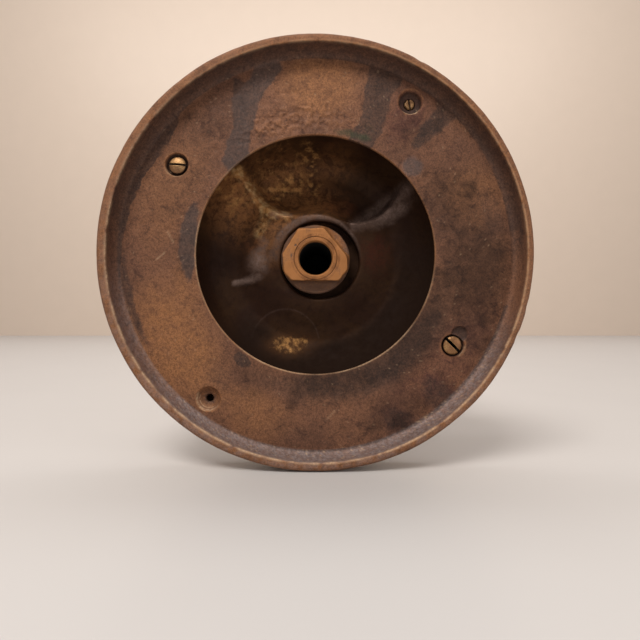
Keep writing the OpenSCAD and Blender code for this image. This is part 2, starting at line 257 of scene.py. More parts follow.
def standing_out(obj, rounds=3):
    """How far each vertex stands out from the vertices round it, in millimetres."""
    mesh = obj.data
    co = coords(mesh) / MM
    e = np.empty(len(mesh.edges) * 2, np.int32)
    mesh.edges.foreach_get("vertices", e)
    a, b = e.reshape(-1, 2).T
    count = np.maximum(np.bincount(e, minlength=len(co)), 1)[:, None]
    mean = co
    for _ in range(rounds):
        total = [np.bincount(a, mean[b, k], len(co)) + np.bincount(b, mean[a, k], len(co)) for k in range(3)]
        mean = np.stack(total, 1) / count
    return -((mean - co) * normals(mesh)).sum(1)


def rounded(profile, radius, steps=3, closed=True):
    """The same profile with its corners rounded."""
    p = np.asarray(profile, float)
    out = []
    for i in range(len(p)):
        if not closed and i in (0, len(p) - 1):
            out.append(p[i])
            continue
        a, b, c = p[i - 1], p[i], p[(i + 1) % len(p)]
        ab, cb = a - b, c - b
        la, lc = np.linalg.norm(ab), np.linalg.norm(cb)
        cut = min(radius, la * 0.45, lc * 0.45)
        p0, p1 = b + ab / la * cut, b + cb / lc * cut
        for t in np.linspace(0, 1, steps + 1):
            out.append((1 - t) ** 2 * p0 + 2 * t * (1 - t) * b + t * t * p1)
    return np.array(out)


def resampled(profile, pitch, closed=True):
    """Adds points so that no step along the profile is longer than pitch."""
    p = np.asarray(profile, float)
    out = []
    last = len(p) if closed else len(p) - 1
    for i in range(last):
        a, b = p[i], p[(i + 1) % len(p)]
        steps = max(1, int(math.ceil(np.linalg.norm(b - a) / pitch)))
        out += [a + (b - a) * t / steps for t in range(steps)]
    if not closed:
        out.append(p[-1])
    return np.array(out)


def apply_modifiers(obj):
    dg = bpy.context.evaluated_depsgraph_get()
    mesh = bpy.data.meshes.new_from_object(obj.evaluated_get(dg))
    obj.modifiers.clear()
    old, obj.data = obj.data, mesh
    bpy.data.meshes.remove(old)
    mesh.name = obj.name


def boolean(obj, tools, operation="DIFFERENCE", solver="EXACT"):
    for t in tools:
        m = obj.modifiers.new("bool", "BOOLEAN")
        m.object, m.operation, m.solver = t, operation, solver
    apply_modifiers(obj)
    for t in tools:
        bpy.data.objects.remove(t)


def attribute(obj, name, values):
    a = obj.data.attributes.get(name) or obj.data.attributes.new(name, "FLOAT", "POINT")
    a.data.foreach_set("value", np.clip(values, 0, 1).astype(np.float32))


class Rows:
    """Rows of radius and station, each round the whole axis, from which lathe makes a body."""

    def __init__(self, n):
        self.n, self.radius, self.station = n, [], []

    def add(self, r, s):
        self.radius.append(np.broadcast_to(r, self.n).astype(float))
        self.station.append(np.broadcast_to(s, self.n).astype(float))

    def add_all(self, pairs, shift=0.0):
        for r, s in pairs:
            self.add(r + shift, s)

    def arrays(self):
        return np.stack(self.radius, 1), np.stack(self.station, 1)


class Surface:
    """A piece's vertices in millimetres: p in the row frame, u right, s station, v up, r and deg about
    the nozzle's axis. They stay as they were measured when the piece is reshaped."""

    def __init__(self, obj):
        self.obj = obj
        self.p = coords(obj.data) / MM
        self.u, self.s, self.v = self.p[:, 0], -self.p[:, 1], self.p[:, 2]
        self.r, self.deg = np.hypot(self.u, self.v), np.degrees(np.arctan2(self.v, self.u))

    def noise(self, size, seed, octaves=1, stretch=1.0):
        return noise(self.p * np.asarray(stretch), size, seed, octaves)

    def scaled(self, lo, hi, *settings):
        """Noise turned into a mask that is full from hi."""
        return smooth(lo, hi, self.noise(*settings))

    def facing(self, deg, far, near):
        """Mask by the angle from deg: 0 at far degrees from it and 1 at near."""
        return smooth(far, near, np.abs(angle_diff(self.deg, deg)))

    def away(self, x, z):
        return np.hypot(self.u - x, self.v - z)

    def reshape(self, u, v, s):
        set_coords(self.obj.data, point(u, v, s) * MM)

    def swell(self, out, s):
        k = 1 + out / np.maximum(self.r, 1)
        self.reshape(self.u * k, self.v * k, s)

    def paint(self, **masks):
        for name, mask in masks.items():
            attribute(self.obj, name, mask)


def screw_at(place):
    deg, r = SCREWS[place]
    return r * cosd(deg), r * sind(deg)


def finish_piece(obj, material, body, replaced, sharp):
    obj.data.materials.clear()
    obj.data.materials.append(material)
    obj.data.shade_smooth()
    obj.data.set_sharp_from_angle(angle=math.radians(sharp))
    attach(obj, body)
    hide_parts(replaced)


# ---------------------------------------------------------------- materials
def srgb(r, g, b):
    return tuple(c / 12.92 if c <= 0.04045 else ((c + 0.055) / 1.055) ** 2.4
                 for c in (r / 255, g / 255, b / 255)) + (1.0,)


class Shader:
    """Builds one procedural material. Texture coordinates are in millimetres."""

    def __init__(self, name):
        self.mat = bpy.data.materials.new(name)
        self.mat.use_nodes = True
        self.mat.node_tree.nodes.clear()
        metres = self.node("TexCoord", {})["Object"]
        self.mm = self.node("VectorMath", {0: metres, "Scale": 1000.0}, operation="SCALE")["Vector"]

    def node(self, kind, inputs, **settings):
        """The outputs of a new node, whose inputs are given by name or number."""
        tree = self.mat.node_tree
        n = tree.nodes.new("ShaderNode" + kind)
        for key, value in settings.items():
            setattr(n, key, value)
        for key, value in inputs.items():
            if isinstance(value, bpy.types.NodeSocket):
                tree.links.new(value, n.inputs[key])
            else:
                n.inputs[key].default_value = value
        return n.outputs

    def math(self, op, a, b, clamp=False):
        return self.node("Math", {0: a, 1: b}, operation=op, use_clamp=clamp)[0]

    def product(self, first, *others):
        for other in others:
            first = self.math("MULTIPLY", first, other)
        return first

    def noise(self, size, detail, rough, distort=0.0, stretch=None):
        place = self.mm
        if stretch:
            place = self.node("VectorMath", {0: place, 1: stretch}, operation="MULTIPLY")["Vector"]
        return self.node("TexNoise", {"Vector": place, "Scale": 1.0 / size, "Detail": detail,
                                      "Roughness": rough, "Distortion": distort})["Fac"]

    def cells(self, size):
        return self.node("TexVoronoi", {"Vector": self.mm, "Scale": 1.0 / size})["Distance"]

    def attr(self, name):
        return self.node("Attribute", {}, attribute_name=name)["Fac"]

    def span(self, x, lo, hi, to_lo=0.0, to_hi=1.0):
        return self.node("MapRange", {"Value": x, "From Min": lo, "From Max": hi, "To Min": to_lo,
                                      "To Max": to_hi}, interpolation_type="SMOOTHSTEP")["Result"]

    def mix(self, fac, a, b, blend="MIX"):
        inputs = {0: fac, 6: a, 7: b}
        return self.node("Mix", inputs, data_type="RGBA", blend_type=blend, clamp_factor=True)[2]

    def over(self, colour, tone, *factors):
        """The colour with the tone over it, as strong as the product of the factors."""
        return self.mix(self.product(*factors), colour, tone)

    def tinted(self, colour, fac, low, high):
        """The colour made darker or lighter by a 0 to 1 factor."""
        tone = self.span(fac, 0.0, 1.0, low, high)
        return self.mix(1.0, colour, self.node("CombineColor", {0: tone, 1: tone, 2: tone})[0], "MULTIPLY")

    def masked(self, mask, grain, soft=0.35):
        """A soft mask whose edge follows the grain."""
        shifted = self.math("ADD", mask, self.product(self.math("SUBTRACT", grain, 0.5), soft * 2))
        worn = self.span(shifted, 0.5 - soft * 0.6, 0.5 + soft * 0.6)
        return self.product(worn, self.span(mask, 0.02, 0.2))

    def finish(self, colour, rough, metallic, bumps, specular=0.5):
        """The material, with bumps one over another as rows of height, strength and distance in metres."""
        normal = {}
        for height, strength, distance in bumps:
            bump = self.node("Bump", {"Height": height, "Strength": strength, "Distance": distance, **normal})
            normal = {"Normal": bump["Normal"]}
        surface = self.node("BsdfPrincipled", {"Base Color": colour, "Roughness": rough, "Metallic": metallic,
                                               "Specular IOR Level": specular, **normal})
        self.node("OutputMaterial", {"Surface": surface[0]})
        return self.mat


# Near-black colours for painted shade down bores, and the pale colour of painted highlights, glints and
# scratches
BORE_SHADE_BLACK, METAL_BORE_SHADE, SPARK = srgb(12, 9, 8), srgb(13, 10, 9), srgb(206, 172, 138)


def patina(name, mid, light, deep, metallic, rough, grain_size, relief, gold, dark,
           grey=srgb(116, 106, 104), red=srgb(92, 50, 36), green=srgb(62, 74, 56), stretch=None,
           contrast=1.0):
    """Old cast bronze. The attributes gold, dark, grey, red, green, shade and bright say where each tone
    lies, and one more turns bores near black as painted shade. Dark and grey can hold painted shade and
    painted reflections as well as stains, and bright holds painted highlights as well as scratches."""
    s = Shader(name)
    cloud = s.noise(24.0, 5.0, 0.62, 0.4)
    mottle = s.noise(4.6, 8.0, 0.72, 0.6, stretch)
    speck = s.noise(grain_size, 5.0, 0.72)
    fine = s.noise(grain_size * 0.42, 4.0, 0.7)
    pits = s.cells(grain_size * 3.4)
    colour = s.mix(s.span(cloud, 0.36, 0.66), mid, light)
    colour = s.over(colour, deep, s.span(mottle, 0.50, 0.70, 0.0, 0.8))
    colour = s.over(colour, gold, s.attr("gold"), s.span(mottle, 0.66, 0.36, 0.45, 1.0))
    colour = s.over(colour, red, s.attr("red"), s.span(mottle, 0.34, 0.60, 0.35, 0.85))
    # The dark tone: stains, and painted shade where a piece's attribute puts it
    colour = s.over(colour, dark, s.masked(s.attr("dark"), s.noise(3.4, 8.0, 0.74, 0.8), 0.58),
                    s.span(s.noise(5.5, 6.0, 0.7, 0.6), 0.34, 0.62, 1.0, 0.80),
                    s.span(speck, 0.30, 0.66, 1.0, 0.74))
    # The grey tone: stains, and painted reflections where a piece's attribute puts it
    colour = s.over(colour, grey, s.attr("grey"), s.span(fine, 0.62, 0.36, 0.40, 1.0))
    colour = s.over(colour, green, s.masked(s.attr("green"), mottle, 0.45), 0.75)
    colour = s.over(colour, s.mix(0.85, colour, deep), s.span(speck, 0.50, 0.30, 0.0, 0.55 * contrast))
    shadow = s.product(s.attr("shade"), s.span(mottle, 0.30, 0.62, 0.75, 1.2))
    colour = s.tinted(colour, shadow, 1.0, 0.38)
    colour = s.tinted(colour, s.span(speck, 0.30, 0.70), 1 - 0.20 * contrast, 1 + 0.26 * contrast)
    colour = s.tinted(colour, s.span(fine, 0.28, 0.72), 1 - 0.26 * contrast, 1 + 0.30 * contrast)
    glint = s.span(s.cells(grain_size * 1.7), 0.17, 0.04, 0.0, 0.38)
    colour = s.over(colour, light, glint, s.span(mottle, 0.42, 0.60))
    # Painted highlights and glints, and real scratches, in the pale colour
    colour = s.over(colour, SPARK, s.attr("bright"), s.span(speck, 0.62, 0.36, 0.35, 1.0))
    # Painted shade: bores turned near black
    colour = s.over(colour, BORE_SHADE_BLACK, s.span(s.attr("soot"), 0.15, 0.75))
    roughness = s.math("ADD", s.span(mottle, 0.30, 0.70, *rough), s.span(speck, 0.3, 0.7, -0.07, 0.07))
    bumps = [(mottle, 0.40 * relief, 0.0004), (speck, 0.70 * relief, 0.00022),
             (s.span(pits, 0.0, 0.22), 0.35 * relief, 0.00014), (fine, 0.50 * relief, 0.00009)]
    metal = s.span(s.math("SUBTRACT", cloud, s.attr("dark")), -0.4, 0.7, metallic * 0.4, metallic)
    return s.finish(colour, roughness, metal, bumps, 0.22)


def worn_metal(name, bright, mid, dirt, rough, metallic, scratch=(1.0, 9.0, 9.0), relief=1.0,
               dirt_amount=0.5):
    """Machined or handled brass, bronze or steel with fine marks and dirt in the hollows. One attribute
    darkens a place for dirt and painted shade, polish brightens it, and another turns bores near black as
    painted shade."""
    s = Shader(name)
    cloud = s.noise(6.0, 5.0, 0.6, 0.5)
    speck = s.noise(0.8, 5.0, 0.72)
    marks = s.noise(1.3, 5.0, 0.75, 0.0, scratch)
    fine = s.noise(0.28, 3.0, 0.65)
    colour = s.mix(s.span(cloud, 0.32, 0.68), mid, bright)
    colour = s.over(colour, mid, s.span(marks, 0.35, 0.75, 0.0, 0.45))
    colour = s.over(colour, dirt, s.span(speck, 0.55, 0.78, 0.0, dirt_amount))
    colour = s.tinted(colour, s.span(fine, 0.28, 0.72), 0.80, 1.22)
    colour = s.over(colour, bright, s.masked(s.attr("polish"), speck), 0.85)
    # Dirt, and painted shade in slots, cracks, crater sides and round sunk parts
    darkening = s.masked(s.attr("dirt"), speck)
    colour = s.over(colour, dirt, darkening)
    # Painted shade: bores turned near black
    soot = s.span(s.attr("soot"), 0.15, 0.75)
    colour = s.over(colour, METAL_BORE_SHADE, soot)
    roughness = s.math("ADD", s.span(cloud, 0.3, 0.7, *rough), s.product(darkening, 0.25))
    roughness = s.math("ADD", roughness, s.product(soot, 0.4), True)
    bumps = [(marks, 0.35 * relief, 0.00012), (speck, 0.50 * relief, 0.00014), (fine, 0.30 * relief, 0.00005)]
    clean = s.span(s.attr("dirt"), 0.0, 0.8, metallic, metallic * 0.3)
    metal = s.product(clean, s.math("SUBTRACT", 1.0, soot))
    return s.finish(colour, roughness, metal, bumps, 0.3)


def soft_material(name, mid, light, deep):
    """Leather or rubber."""
    s = Shader(name)
    speck = s.noise(0.48, 4.0, 0.65)
    colour = s.mix(s.span(s.noise(6.0, 4.0, 0.6), 0.3, 0.7), mid, light)
    colour = s.over(colour, deep, s.span(speck, 0.45, 0.75, 0.0, 0.8))
    bumps = [(s.cells(0.6), 0.5, 0.00015), (speck, 0.4, 0.00008)]
    return s.finish(colour, s.span(speck, 0.3, 0.7, 0.6, 0.85), 0.0, bumps)


# ---------------------------------------------------------------- face ring
def polar_map(u, v):
    """Radius and angle about the point 1 mm above the axis, which is where the stains were placed."""
    return np.hypot(u, v - 1.0), np.degrees(np.arctan2(v - 1.0, u))


def streak(r, deg, rows, soft=0.8):
    """Mask of a stain given by rows (radius, middle angle, half width in degrees), outside in."""
    rows = sorted(rows)
    rr, mid, half = (np.array([row[k] for row in rows]) for k in range(3))
    d = (np.interp(r, rr, half) - np.abs(angle_diff(deg, np.interp(r, rr, mid)))) * np.radians(1) * r
    ends = np.minimum(r - rr[0], rr[-1] - r)
    return smooth(-1.9 * soft, 1.5 * soft, np.minimum(d, ends))


def blob(r, deg, at_deg, at_r, half_t, half_r, soft=0.25):
    t = np.radians(angle_diff(deg, at_deg)) * at_r / half_t
    return smooth(1 + soft, 1 - soft, np.hypot(t, (r - at_r) / half_r))


def blobs(r, deg, table):
    """The strongest of several blobs, each given by strength, angle, radius, half sizes and softness."""
    return most(*(row[0] * blob(r, deg, *row[1:]) for row in table))


def nick_centre():
    x, z = screw_at("right")
    return x + NICK_OFF * cosd(NICK_DEG), z + NICK_OFF * sind(NICK_DEG)


def ring_body():
    n = 720
    shift = COVE_SHIFT * np.cos(np.arange(n) / n * TAU)
    rows = Rows(n)
    rows.add_all([(BOWL_EDGE_R, RING_BACK_S), (52.1, 161.15), (51.1, 162.3), (50.35, 163.2),
                  (OPENING_R, 163.5),
                  (OPENING_R, 164.1), (50.28, 164.36), (50.5, RING_S)])
    for r in np.linspace(50.9, 81.6, 56):
        rows.add(r + shift * smooth(70, 82, r), RING_S)
    for a in np.linspace(0, 84, 13):
        rows.add(COVE_IN_R + shift + (LIP_IN_R - COVE_IN_R) * sind(a), LIP_S - (LIP_S - RING_S) * cosd(a))
    rows.add_all([(LIP_IN_R, 171.45), (LIP_IN_R + 0.08, 171.8), (LIP_IN_R + 0.3, 171.98)], shift)
    inner, corner = LIP_IN_R + 0.3 + shift, 2.0
    for t in (0.25, 0.5, 0.75, 1.0):
        rows.add(inner + (FACE_R - corner - inner) * t, LIP_S)
    for a in (15, 32, 50, 68, 90):
        rows.add(FACE_R - corner * (1 - sind(a)), LIP_S - corner * (1 - cosd(a)))
    wall_r = FACE_R - 0.8
    rows.add_all([(FACE_R, s) for s in (168.8, 167.5, 166.2, 165.0)]
                 + [(FACE_R - 0.1, 164.2), (wall_r + 0.15, 163.4), (wall_r, 162.9)]
                 + [(wall_r, s) for s in (161.5, 160.0, 158.4, 156.8, 155.3)]
                 + [(wall_r - 0.1, 154.4), (wall_r - 0.5, 154.05)]
                 + [(r, FLANGE_BACK_S) for r in (86.8, 85.4, 84.0)]
                 + [(SPIGOT_R + 0.2, 154.1), (SPIGOT_R, 154.5)]
                 + [(SPIGOT_R, s) for s in (156.2, 158.0, 159.7)] + [(FLANGE_R, RING_BACK_S)]
                 + [(r, RING_BACK_S) for r in np.linspace(80.5, 55.0, 14)])
    return lathe("cast_face_ring", *rows.arrays())


def recess_cutter(place):
    """The recess of one screw. The bottom one is crusted with dirt, so that it narrows in two steps."""
    flare = 0.9 if place in ("top", "bottom") else 0.45
    mouth = [(0.0, 167.0), (RECESS_R + flare, 167.0), (RECESS_R + flare, RING_S + 0.15),
             (RECESS_R + flare * 0.55, 164.25), (RECESS_R + flare * 0.15, 163.8)]
    clean = [(4.6, 163.3), (4.55, HEAD_FLOOR_S + 0.25), (4.3, HEAD_FLOOR_S), (2.6, HEAD_FLOOR_S - 0.05),
             (2.38, HEAD_FLOOR_S - 0.3)]
    crusted = [(4.35, 162.9), (3.9, 162.75), (3.7, 162.2), (3.1, 161.9), (2.2, 161.75), (1.65, 161.4),
               (1.55, 160.9), (2.3, 160.5)]
    profile = mouth + (crusted if place == "bottom" else clean) + [(2.38, FLANGE_S), (0.0, FLANGE_S)]
    return turned("cutter_" + place, [(max(r, AXIS_R), s) for r, s in profile], 56, screw_at(place), False)


def cut_ring(ring):
    nick = [(AXIS_R, 167.0), (3.7, 167.0), (3.7, 164.6), (3.4, 164.2), (2.9, 163.7), (2.0, 163.35),
            (AXIS_R, 163.2)]
    boolean(ring, [recess_cutter(place) for place in SCREWS]
            + [turned("cutter_nick", nick, 40, nick_centre(), False)])


def scaly_patch(g):
    """Mask of the scaly worn patch at the upper left, and the ridges that the whole surface has."""
    ridges = smooth(0.72, 0.97, 1 - np.abs(g.noise(2.6, 11, 2)))
    return blob(*polar_map(g.u, g.v), 99, 57, 26, 5.0, 0.35), ridges


def roughen_ring(g):
    front = smooth(163.9, 164.45, g.s) * smooth(49.5, 50.6, g.r)
    flat = front * smooth(83.4, 81.4, g.r) * smooth(164.9, 164.6, g.s)
    # Cast surface: broad waves, coarse sand grain, the scaly patch and pits
    scaly, ridged = scaly_patch(g)
    lift = 0.16 * g.noise(24, 3) + 0.07 * g.noise(6, 5, 2) + 0.055 * g.noise(1.7, 7, 2)
    lift = lift + scaly * 0.50 * (ridged - 0.25) - 0.14 * g.scaled(0.52, 0.8, 2.6, 23)
    # Cove and lip: rough cast, with small dents along the lip
    cove = (smooth(81.8, 83.0, g.r) * smooth(164.5, 164.9, g.s) * smooth(172.2, 171.2, g.s)
            * smooth(86.5, 85.6, g.r))
    out = cove * (0.10 * g.noise(3.2, 31, 2) + 0.07 * g.noise(1.2, 37))
    lip = smooth(171.2, 171.9, g.s)
    station = g.s + lift * flat + lip * (0.09 * g.noise(9, 41) + 0.06 * g.noise(1.8, 43, 2)
                                         - 0.10 * g.scaled(0.5, 0.9, 3.0, 47))
    dents = g.scaled(0.60, 0.95, 7.0, 53, 1, (1, 0.35, 1)) * smooth(163, 170, g.s)
    out = out + smooth(86.6, 87.6, g.r) * (0.12 * g.noise(14, 59) + 0.05 * g.noise(2.2, 61,
                                                                                   2) - 0.35 * dents)
    station = station + smooth(160.4, 160.1, g.s) * smooth(84.5, 85.5, g.r) * 0.05 * g.noise(3.0, 67, 2)
    g.reshape(g.u + cosd(g.deg) * out, g.v + sind(g.deg) * out, station)


# Streaks as rows of radius, middle angle and half width in degrees
MAIN_STREAK = [(85, 103.5, 4), (83.2, 103.5, 3.6), (77.7, 105.5, 4.6), (73.5, 111.5, 7), (67.2, 116, 5),
               (62.2, 118.5, 4.7), (58, 123.5, 6), (54.6, 128, 7.5), (51.2, 130, 6.5), (48, 131, 6)]
PRONG = [(80.0, 114.5, 0.4), (77, 115, 1.6), (72, 116, 2.2)]
BAND = [(85, 68, 5.5), (72, 68.5, 4.6), (63, 67, 4.6), (57, 66, 5.2), (48, 68, 6.2)]
THIN_STREAK = [(85, 46, 7), (81, 47, 3.4), (70, 47, 2.8), (60, 46.5, 1.6)]
LEFT_CORNER = [(86, 165, 42), (83.5, 163, 34), (80.5, 154, 19), (78.0, 147, 8), (77, 146, 2)]
RED_STREAKS = ([(86, 296, 5), (78, 296, 4), (72, 295, 2.5)], [(86, 311, 4.5), (76, 311, 3.5),
                                                              (70, 311, 1.5)])
# Blobs as rows of strength, angle, radius, half sizes along and across, and softness
DARK_BLOBS = [(0.9, 236, 54.6, 4.2, 2.6, 0.2), (0.40, 12, 76.0, 9, 4.5, 0.5), (0.7, 195, 80.5, 22, 2.0, 0.5),
              (0.35, 232, 66, 6, 4.5, 0.5)]
SHADOWS = [(0.92, 352, 68, 25, 14, 0.8), (0.85, 318, 56, 30, 10, 0.8), (0.80, 285, 55, 28, 9, 0.8),
           (0.50, 300, 76, 18, 8, 0.8), (0.62, 20, 60, 18, 16, 0.8), (0.38, 335, 76, 26, 9, 0.8),
           (0.42, 245, 57, 15, 7, 0.8), (0.40, 130, 72, 20, 10, 0.8), (0.35, 178, 55, 14, 6, 0.8),
           (0.38, 52, 66, 10, 16, 0.8), (0.25, 268, 77, 18, 5, 0.8), (0.35, 150, 63, 20, 14, 0.8)]
WARM = [(1.0, 214, 70, 24, 14, 0.6), (0.85, 89, 70, 15, 12, 0.5), (0.6, 18, 70, 16, 13, 0.6),
        (0.55, 250, 72, 14, 11, 0.6), (0.5, 155, 66, 24, 12, 0.7), (0.5, 193, 55, 12, 5, 0.6)]
RED_BLOBS = [(0.75, 56, 69, 8, 12, 0.5), (0.45, 322, 72, 30, 10, 0.6)]
# Scratches from one point to another, right and up
SCRATCHES = [((4.5, -69.5), (8.2, -65.6)), ((-66.8, -2.2), (-63.2, 0.8)), ((-62.0, 9.5), (-59.5, 5.0))]
# Painted highlights: light crescents on the lower walls of the recesses, where light from above falls. Rows
# give strength, middle angle and half width in degrees
LIT_CRESCENTS = {"left": (0.5, 250, 70), "top": (1.0, 275, 55), "right": (0.6, 330, 45),
             "bottom": (0.85, 235, 110)}
# Painted shade inside each screw recess
HOLE_SHADE = {"left": 0.9, "top": 0.75, "right": 0.9, "bottom": 0.12}


def painted_recess_shade(g):
    inside = 0.9 * smooth(3.9, 3.2, g.away(*nick_centre())) * smooth(164.5, 164.0, g.s)
    for place, reach in HOLE_SHADE.items():
        hole = smooth(5.2, 4.5, g.away(*screw_at(place))) * smooth(164.2, 163.0, g.s)
        inside = most(inside, reach * hole)
    return inside


# Painted highlights on the recess walls, and gold round each recess's edge
def recess_light(g, bright, gold):
    for place, (strength, middle, width) in LIT_CRESCENTS.items():
        x, z = screw_at(place)
        d = g.away(x, z)
        turn = np.degrees(np.arctan2(g.v - z, g.u - x))
        side = smooth(width, 0.5 * width, np.abs(angle_diff(turn, middle)))
        line = smooth(0.55, 0.1, np.abs(d - 4.9)) * smooth(163.3, 163.7, g.s)
        gold = most(gold, 0.7 * smooth(0.9, 0.3, np.abs(d - 5.1)) * smooth(163.7, 164.2, g.s))
        if place == "bottom":
            line = most(line, 0.7 * smooth(0.4, 0.1, np.abs(d - 4.0)))
            gold = most(gold, 0.8 * smooth(4.6, 3.6, d) * smooth(161.2, 161.6, g.s))
        bright = most(bright, strength * side * line * g.scaled(-0.6, 0.1, 1.2, 99, 2))
    return bright, gold


def stain_ring(g):
    r, deg = polar_map(g.u + 1.1 * g.noise(3.4, 71, 3), g.v + 1.1 * g.noise(3.4, 73, 3))
    shifted = g.r - COVE_SHIFT * cosd(g.deg)
    turn = g.deg % 360
    flat = smooth(49.9, 50.3, g.r) * smooth(83.6, 82.0, g.r)
    cove = smooth(81.6, 82.4, g.r) * smooth(86.2, 85.4, g.r) * smooth(172.2, 171.6, g.s)
    wall = smooth(86.6, 87.6, g.r)

    main = streak(r, deg, MAIN_STREAK)
    red_low, red_right = (streak(r, deg, rows, 1.4) for rows in RED_STREAKS)
    side = blob(r, deg, 175.5, 53.8, 16.5, 3.6, 0.18)
    grey_dot = blob(r, deg, 41, 54.2, 4.0, 4.2, 0.25)
    low = 0.5 * blob(r, deg, 296, 57.0, 42, 7.0, 0.5)
    dark = flat * most(main, streak(r, deg, PRONG, 0.6), streak(r, deg, BAND),
                       0.8 * streak(r, deg, THIN_STREAK),
                       streak(r, deg, LEFT_CORNER, 1.2), 0.85 * side, 0.6 * grey_dot, low,
                       blobs(r, deg, DARK_BLOBS), 0.55 * red_low, 0.6 * red_right)
    # Painted shade on the ring's back and down the opening's wall, in the cove's inner corner along the
    # bottom, along the top of the cove, and in the recesses
    under = smooth(162.6, 161.0, g.s) * smooth(84, 82, g.r)
    crease = smooth(83.6, 82.2, shifted) * cove * (np.abs(angle_diff(g.deg, 275)) < 70)
    dark = most(dark, 0.684 * cove * g.facing(88, 112, 74), under, painted_recess_shade(g), 0.75 * crease)

    shadow = blobs(r, deg, SHADOWS)
    blotch = 0.35 * g.scaled(0.05, 0.6, 9.0, 79, 3) * (0.4 + 0.6 * (np.abs(angle_diff(g.deg, -20)) < 95))
    # Painted reflection: the cove's lower side greyed where its metal faces the pale surroundings, strongest
    # towards the lip
    low_side = smooth(196, 232, turn) * smooth(350, 318, turn)
    grey = cove * most(low_side, 0.55 * smooth(178, 200, turn) * smooth(352, 325, turn))
    grey = grey * (0.55 + 0.45 * smooth(82.2, 83.6, shifted))
    grey = grey * (0.55 + 0.45 * g.scaled(-0.3, 0.4, 0.9, 83, 2))
    # Painted highlight along one side of the lip's inner edge
    edge_line = 0.42 * smooth(171.3, 171.9, g.s) * smooth(84.9, 85.3, g.r) * g.facing(75, 60, 160)
    pale = (0.12 * side + 0.10 * main + 0.22 * grey_dot + 0.12 * low) * flat

    scaly, ridged = scaly_patch(g)
    warm = sum(row[0] * blob(r, deg, *row[1:]) for row in WARM) + 0.35 * scaly * ridged
    # The opening's edge and the lip crest are gold; the bright marks below are painted highlights on them,
    # painted glints in the cove and on the face, and real scratches
    opening = smooth(50.75, 50.3, g.r) * smooth(162.8, 163.4, g.s)
    crest = 1.1 * smooth(84.9, 85.2, shifted) * smooth(86.2, 85.7, shifted) * smooth(170.9, 171.5, g.s)
    lip_tone = (0.55 + 0.35 * g.facing(60, 40, 170)) * (0.72 + 0.28 * g.scaled(-0.5, 0.4, 1.6, 87, 3))
    lip = smooth(171.3, 171.9, g.s) * smooth(84.9, 85.3, g.r)
    gold = most(np.clip(warm * flat * (1 - 0.8 * dark) - 0.5 * shadow, 0, 0.9), 0.95 * opening,
                lip * most(lip_tone, crest), 0.5 * wall * smooth(166, 171, g.s))
    bright = most(0.75 * crest * (0.35 + 0.65 * g.facing(75, 30, 150)) * g.scaled(-0.5, 0.2, 3.0, 91, 3),
                  0.8 * opening * g.facing(60, 20, 130) * g.scaled(-0.9, 0.4, 9.0, 93, 2),
                  0.55 * cove * low_side * g.scaled(0.42, 0.60, 0.7, 95, 2),
                  0.32 * flat * g.scaled(0.62, 0.74, 0.8, 97, 2))
    for (x0, z0), (x1, z1) in SCRATCHES:
        dx, dz = x1 - x0, z1 - z0
        t = np.clip(((g.u - x0) * dx + (g.v - z0) * dz) / (dx ** 2 + dz ** 2), 0, 1)
        bright = most(bright, 0.36 * flat * smooth(0.50, 0.12, g.away(x0 + t * dx, z0 + t * dz)))
    bright, gold = recess_light(g, bright, gold)
    red = sum(row[0] * blob(r, deg, *row[1:]) for row in RED_BLOBS) + 0.5 * red_low + 0.5 * red_right
    green = 0.62 * blob(r, deg, 73, 51.6, 8.0, 2.0, 0.7) * flat * smooth(160, 164, g.s)
    g.paint(dark=dark, shade=np.clip(shadow + blotch, 0, 1) * flat, bright=bright, gold=gold, red=red * flat,
            grey=most(grey, edge_line * g.scaled(-0.5, 0.3, 2.0, 85, 3), pale),
            green=green + 0.35 * blob(r, deg, 66, 56, 4, 4, 0.8) * flat)


def make_face_ring():
    ring = ring_body()
    cut_ring(ring)
    g = Surface(ring)
    roughen_ring(g)
    stain_ring(g)
    return ring


# Its dark tone also paints shade, and its grey also paints the cove's reflection
RING_BRONZE = patina("ring_bronze_cast", srgb(103, 71, 55), srgb(119, 82, 61), srgb(72, 49, 41), 0.25,
                     (0.50, 0.72), 0.8, 1.0, gold=srgb(142, 97, 63), dark=srgb(60, 46, 41),
                     grey=srgb(140, 130, 130), red=srgb(84, 50, 46), green=srgb(56, 62, 44), contrast=0.82)
finish_piece(make_face_ring(), RING_BRONZE, "nozzle", "face_ring", 50)


# ---------------------------------------------------------------- bell shell
BELL_WALL_R, BELL_BORE_R, BELL_FLOOR_S, BELL_REAR_S = 18.0, 9.75, 140.5, 132.0
DOME_IN_R, DOME_WIDTH, DOME_HEIGHT = 28.0, 36.0, 22.0


def smoothed_profile(points, r, sigma=0.9):
    """Heights at radii r on a rounded line through (radius, height) points."""
    pr, ps = (np.array([q[k] for q in points], float) for k in range(2))
    fine = np.linspace(pr[0] - 4, pr[-1] + 4, 900)
    s = np.interp(fine, pr, ps)
    step = fine[1] - fine[0]
    half = int(3 * sigma / step)
    kernel = np.exp(-0.5 * (np.arange(-half, half + 1) * step / sigma) ** 2)
    s = np.convolve(np.pad(s, half, "edge"), kernel / kernel.sum(), "valid")
    return np.interp(r, fine, s)


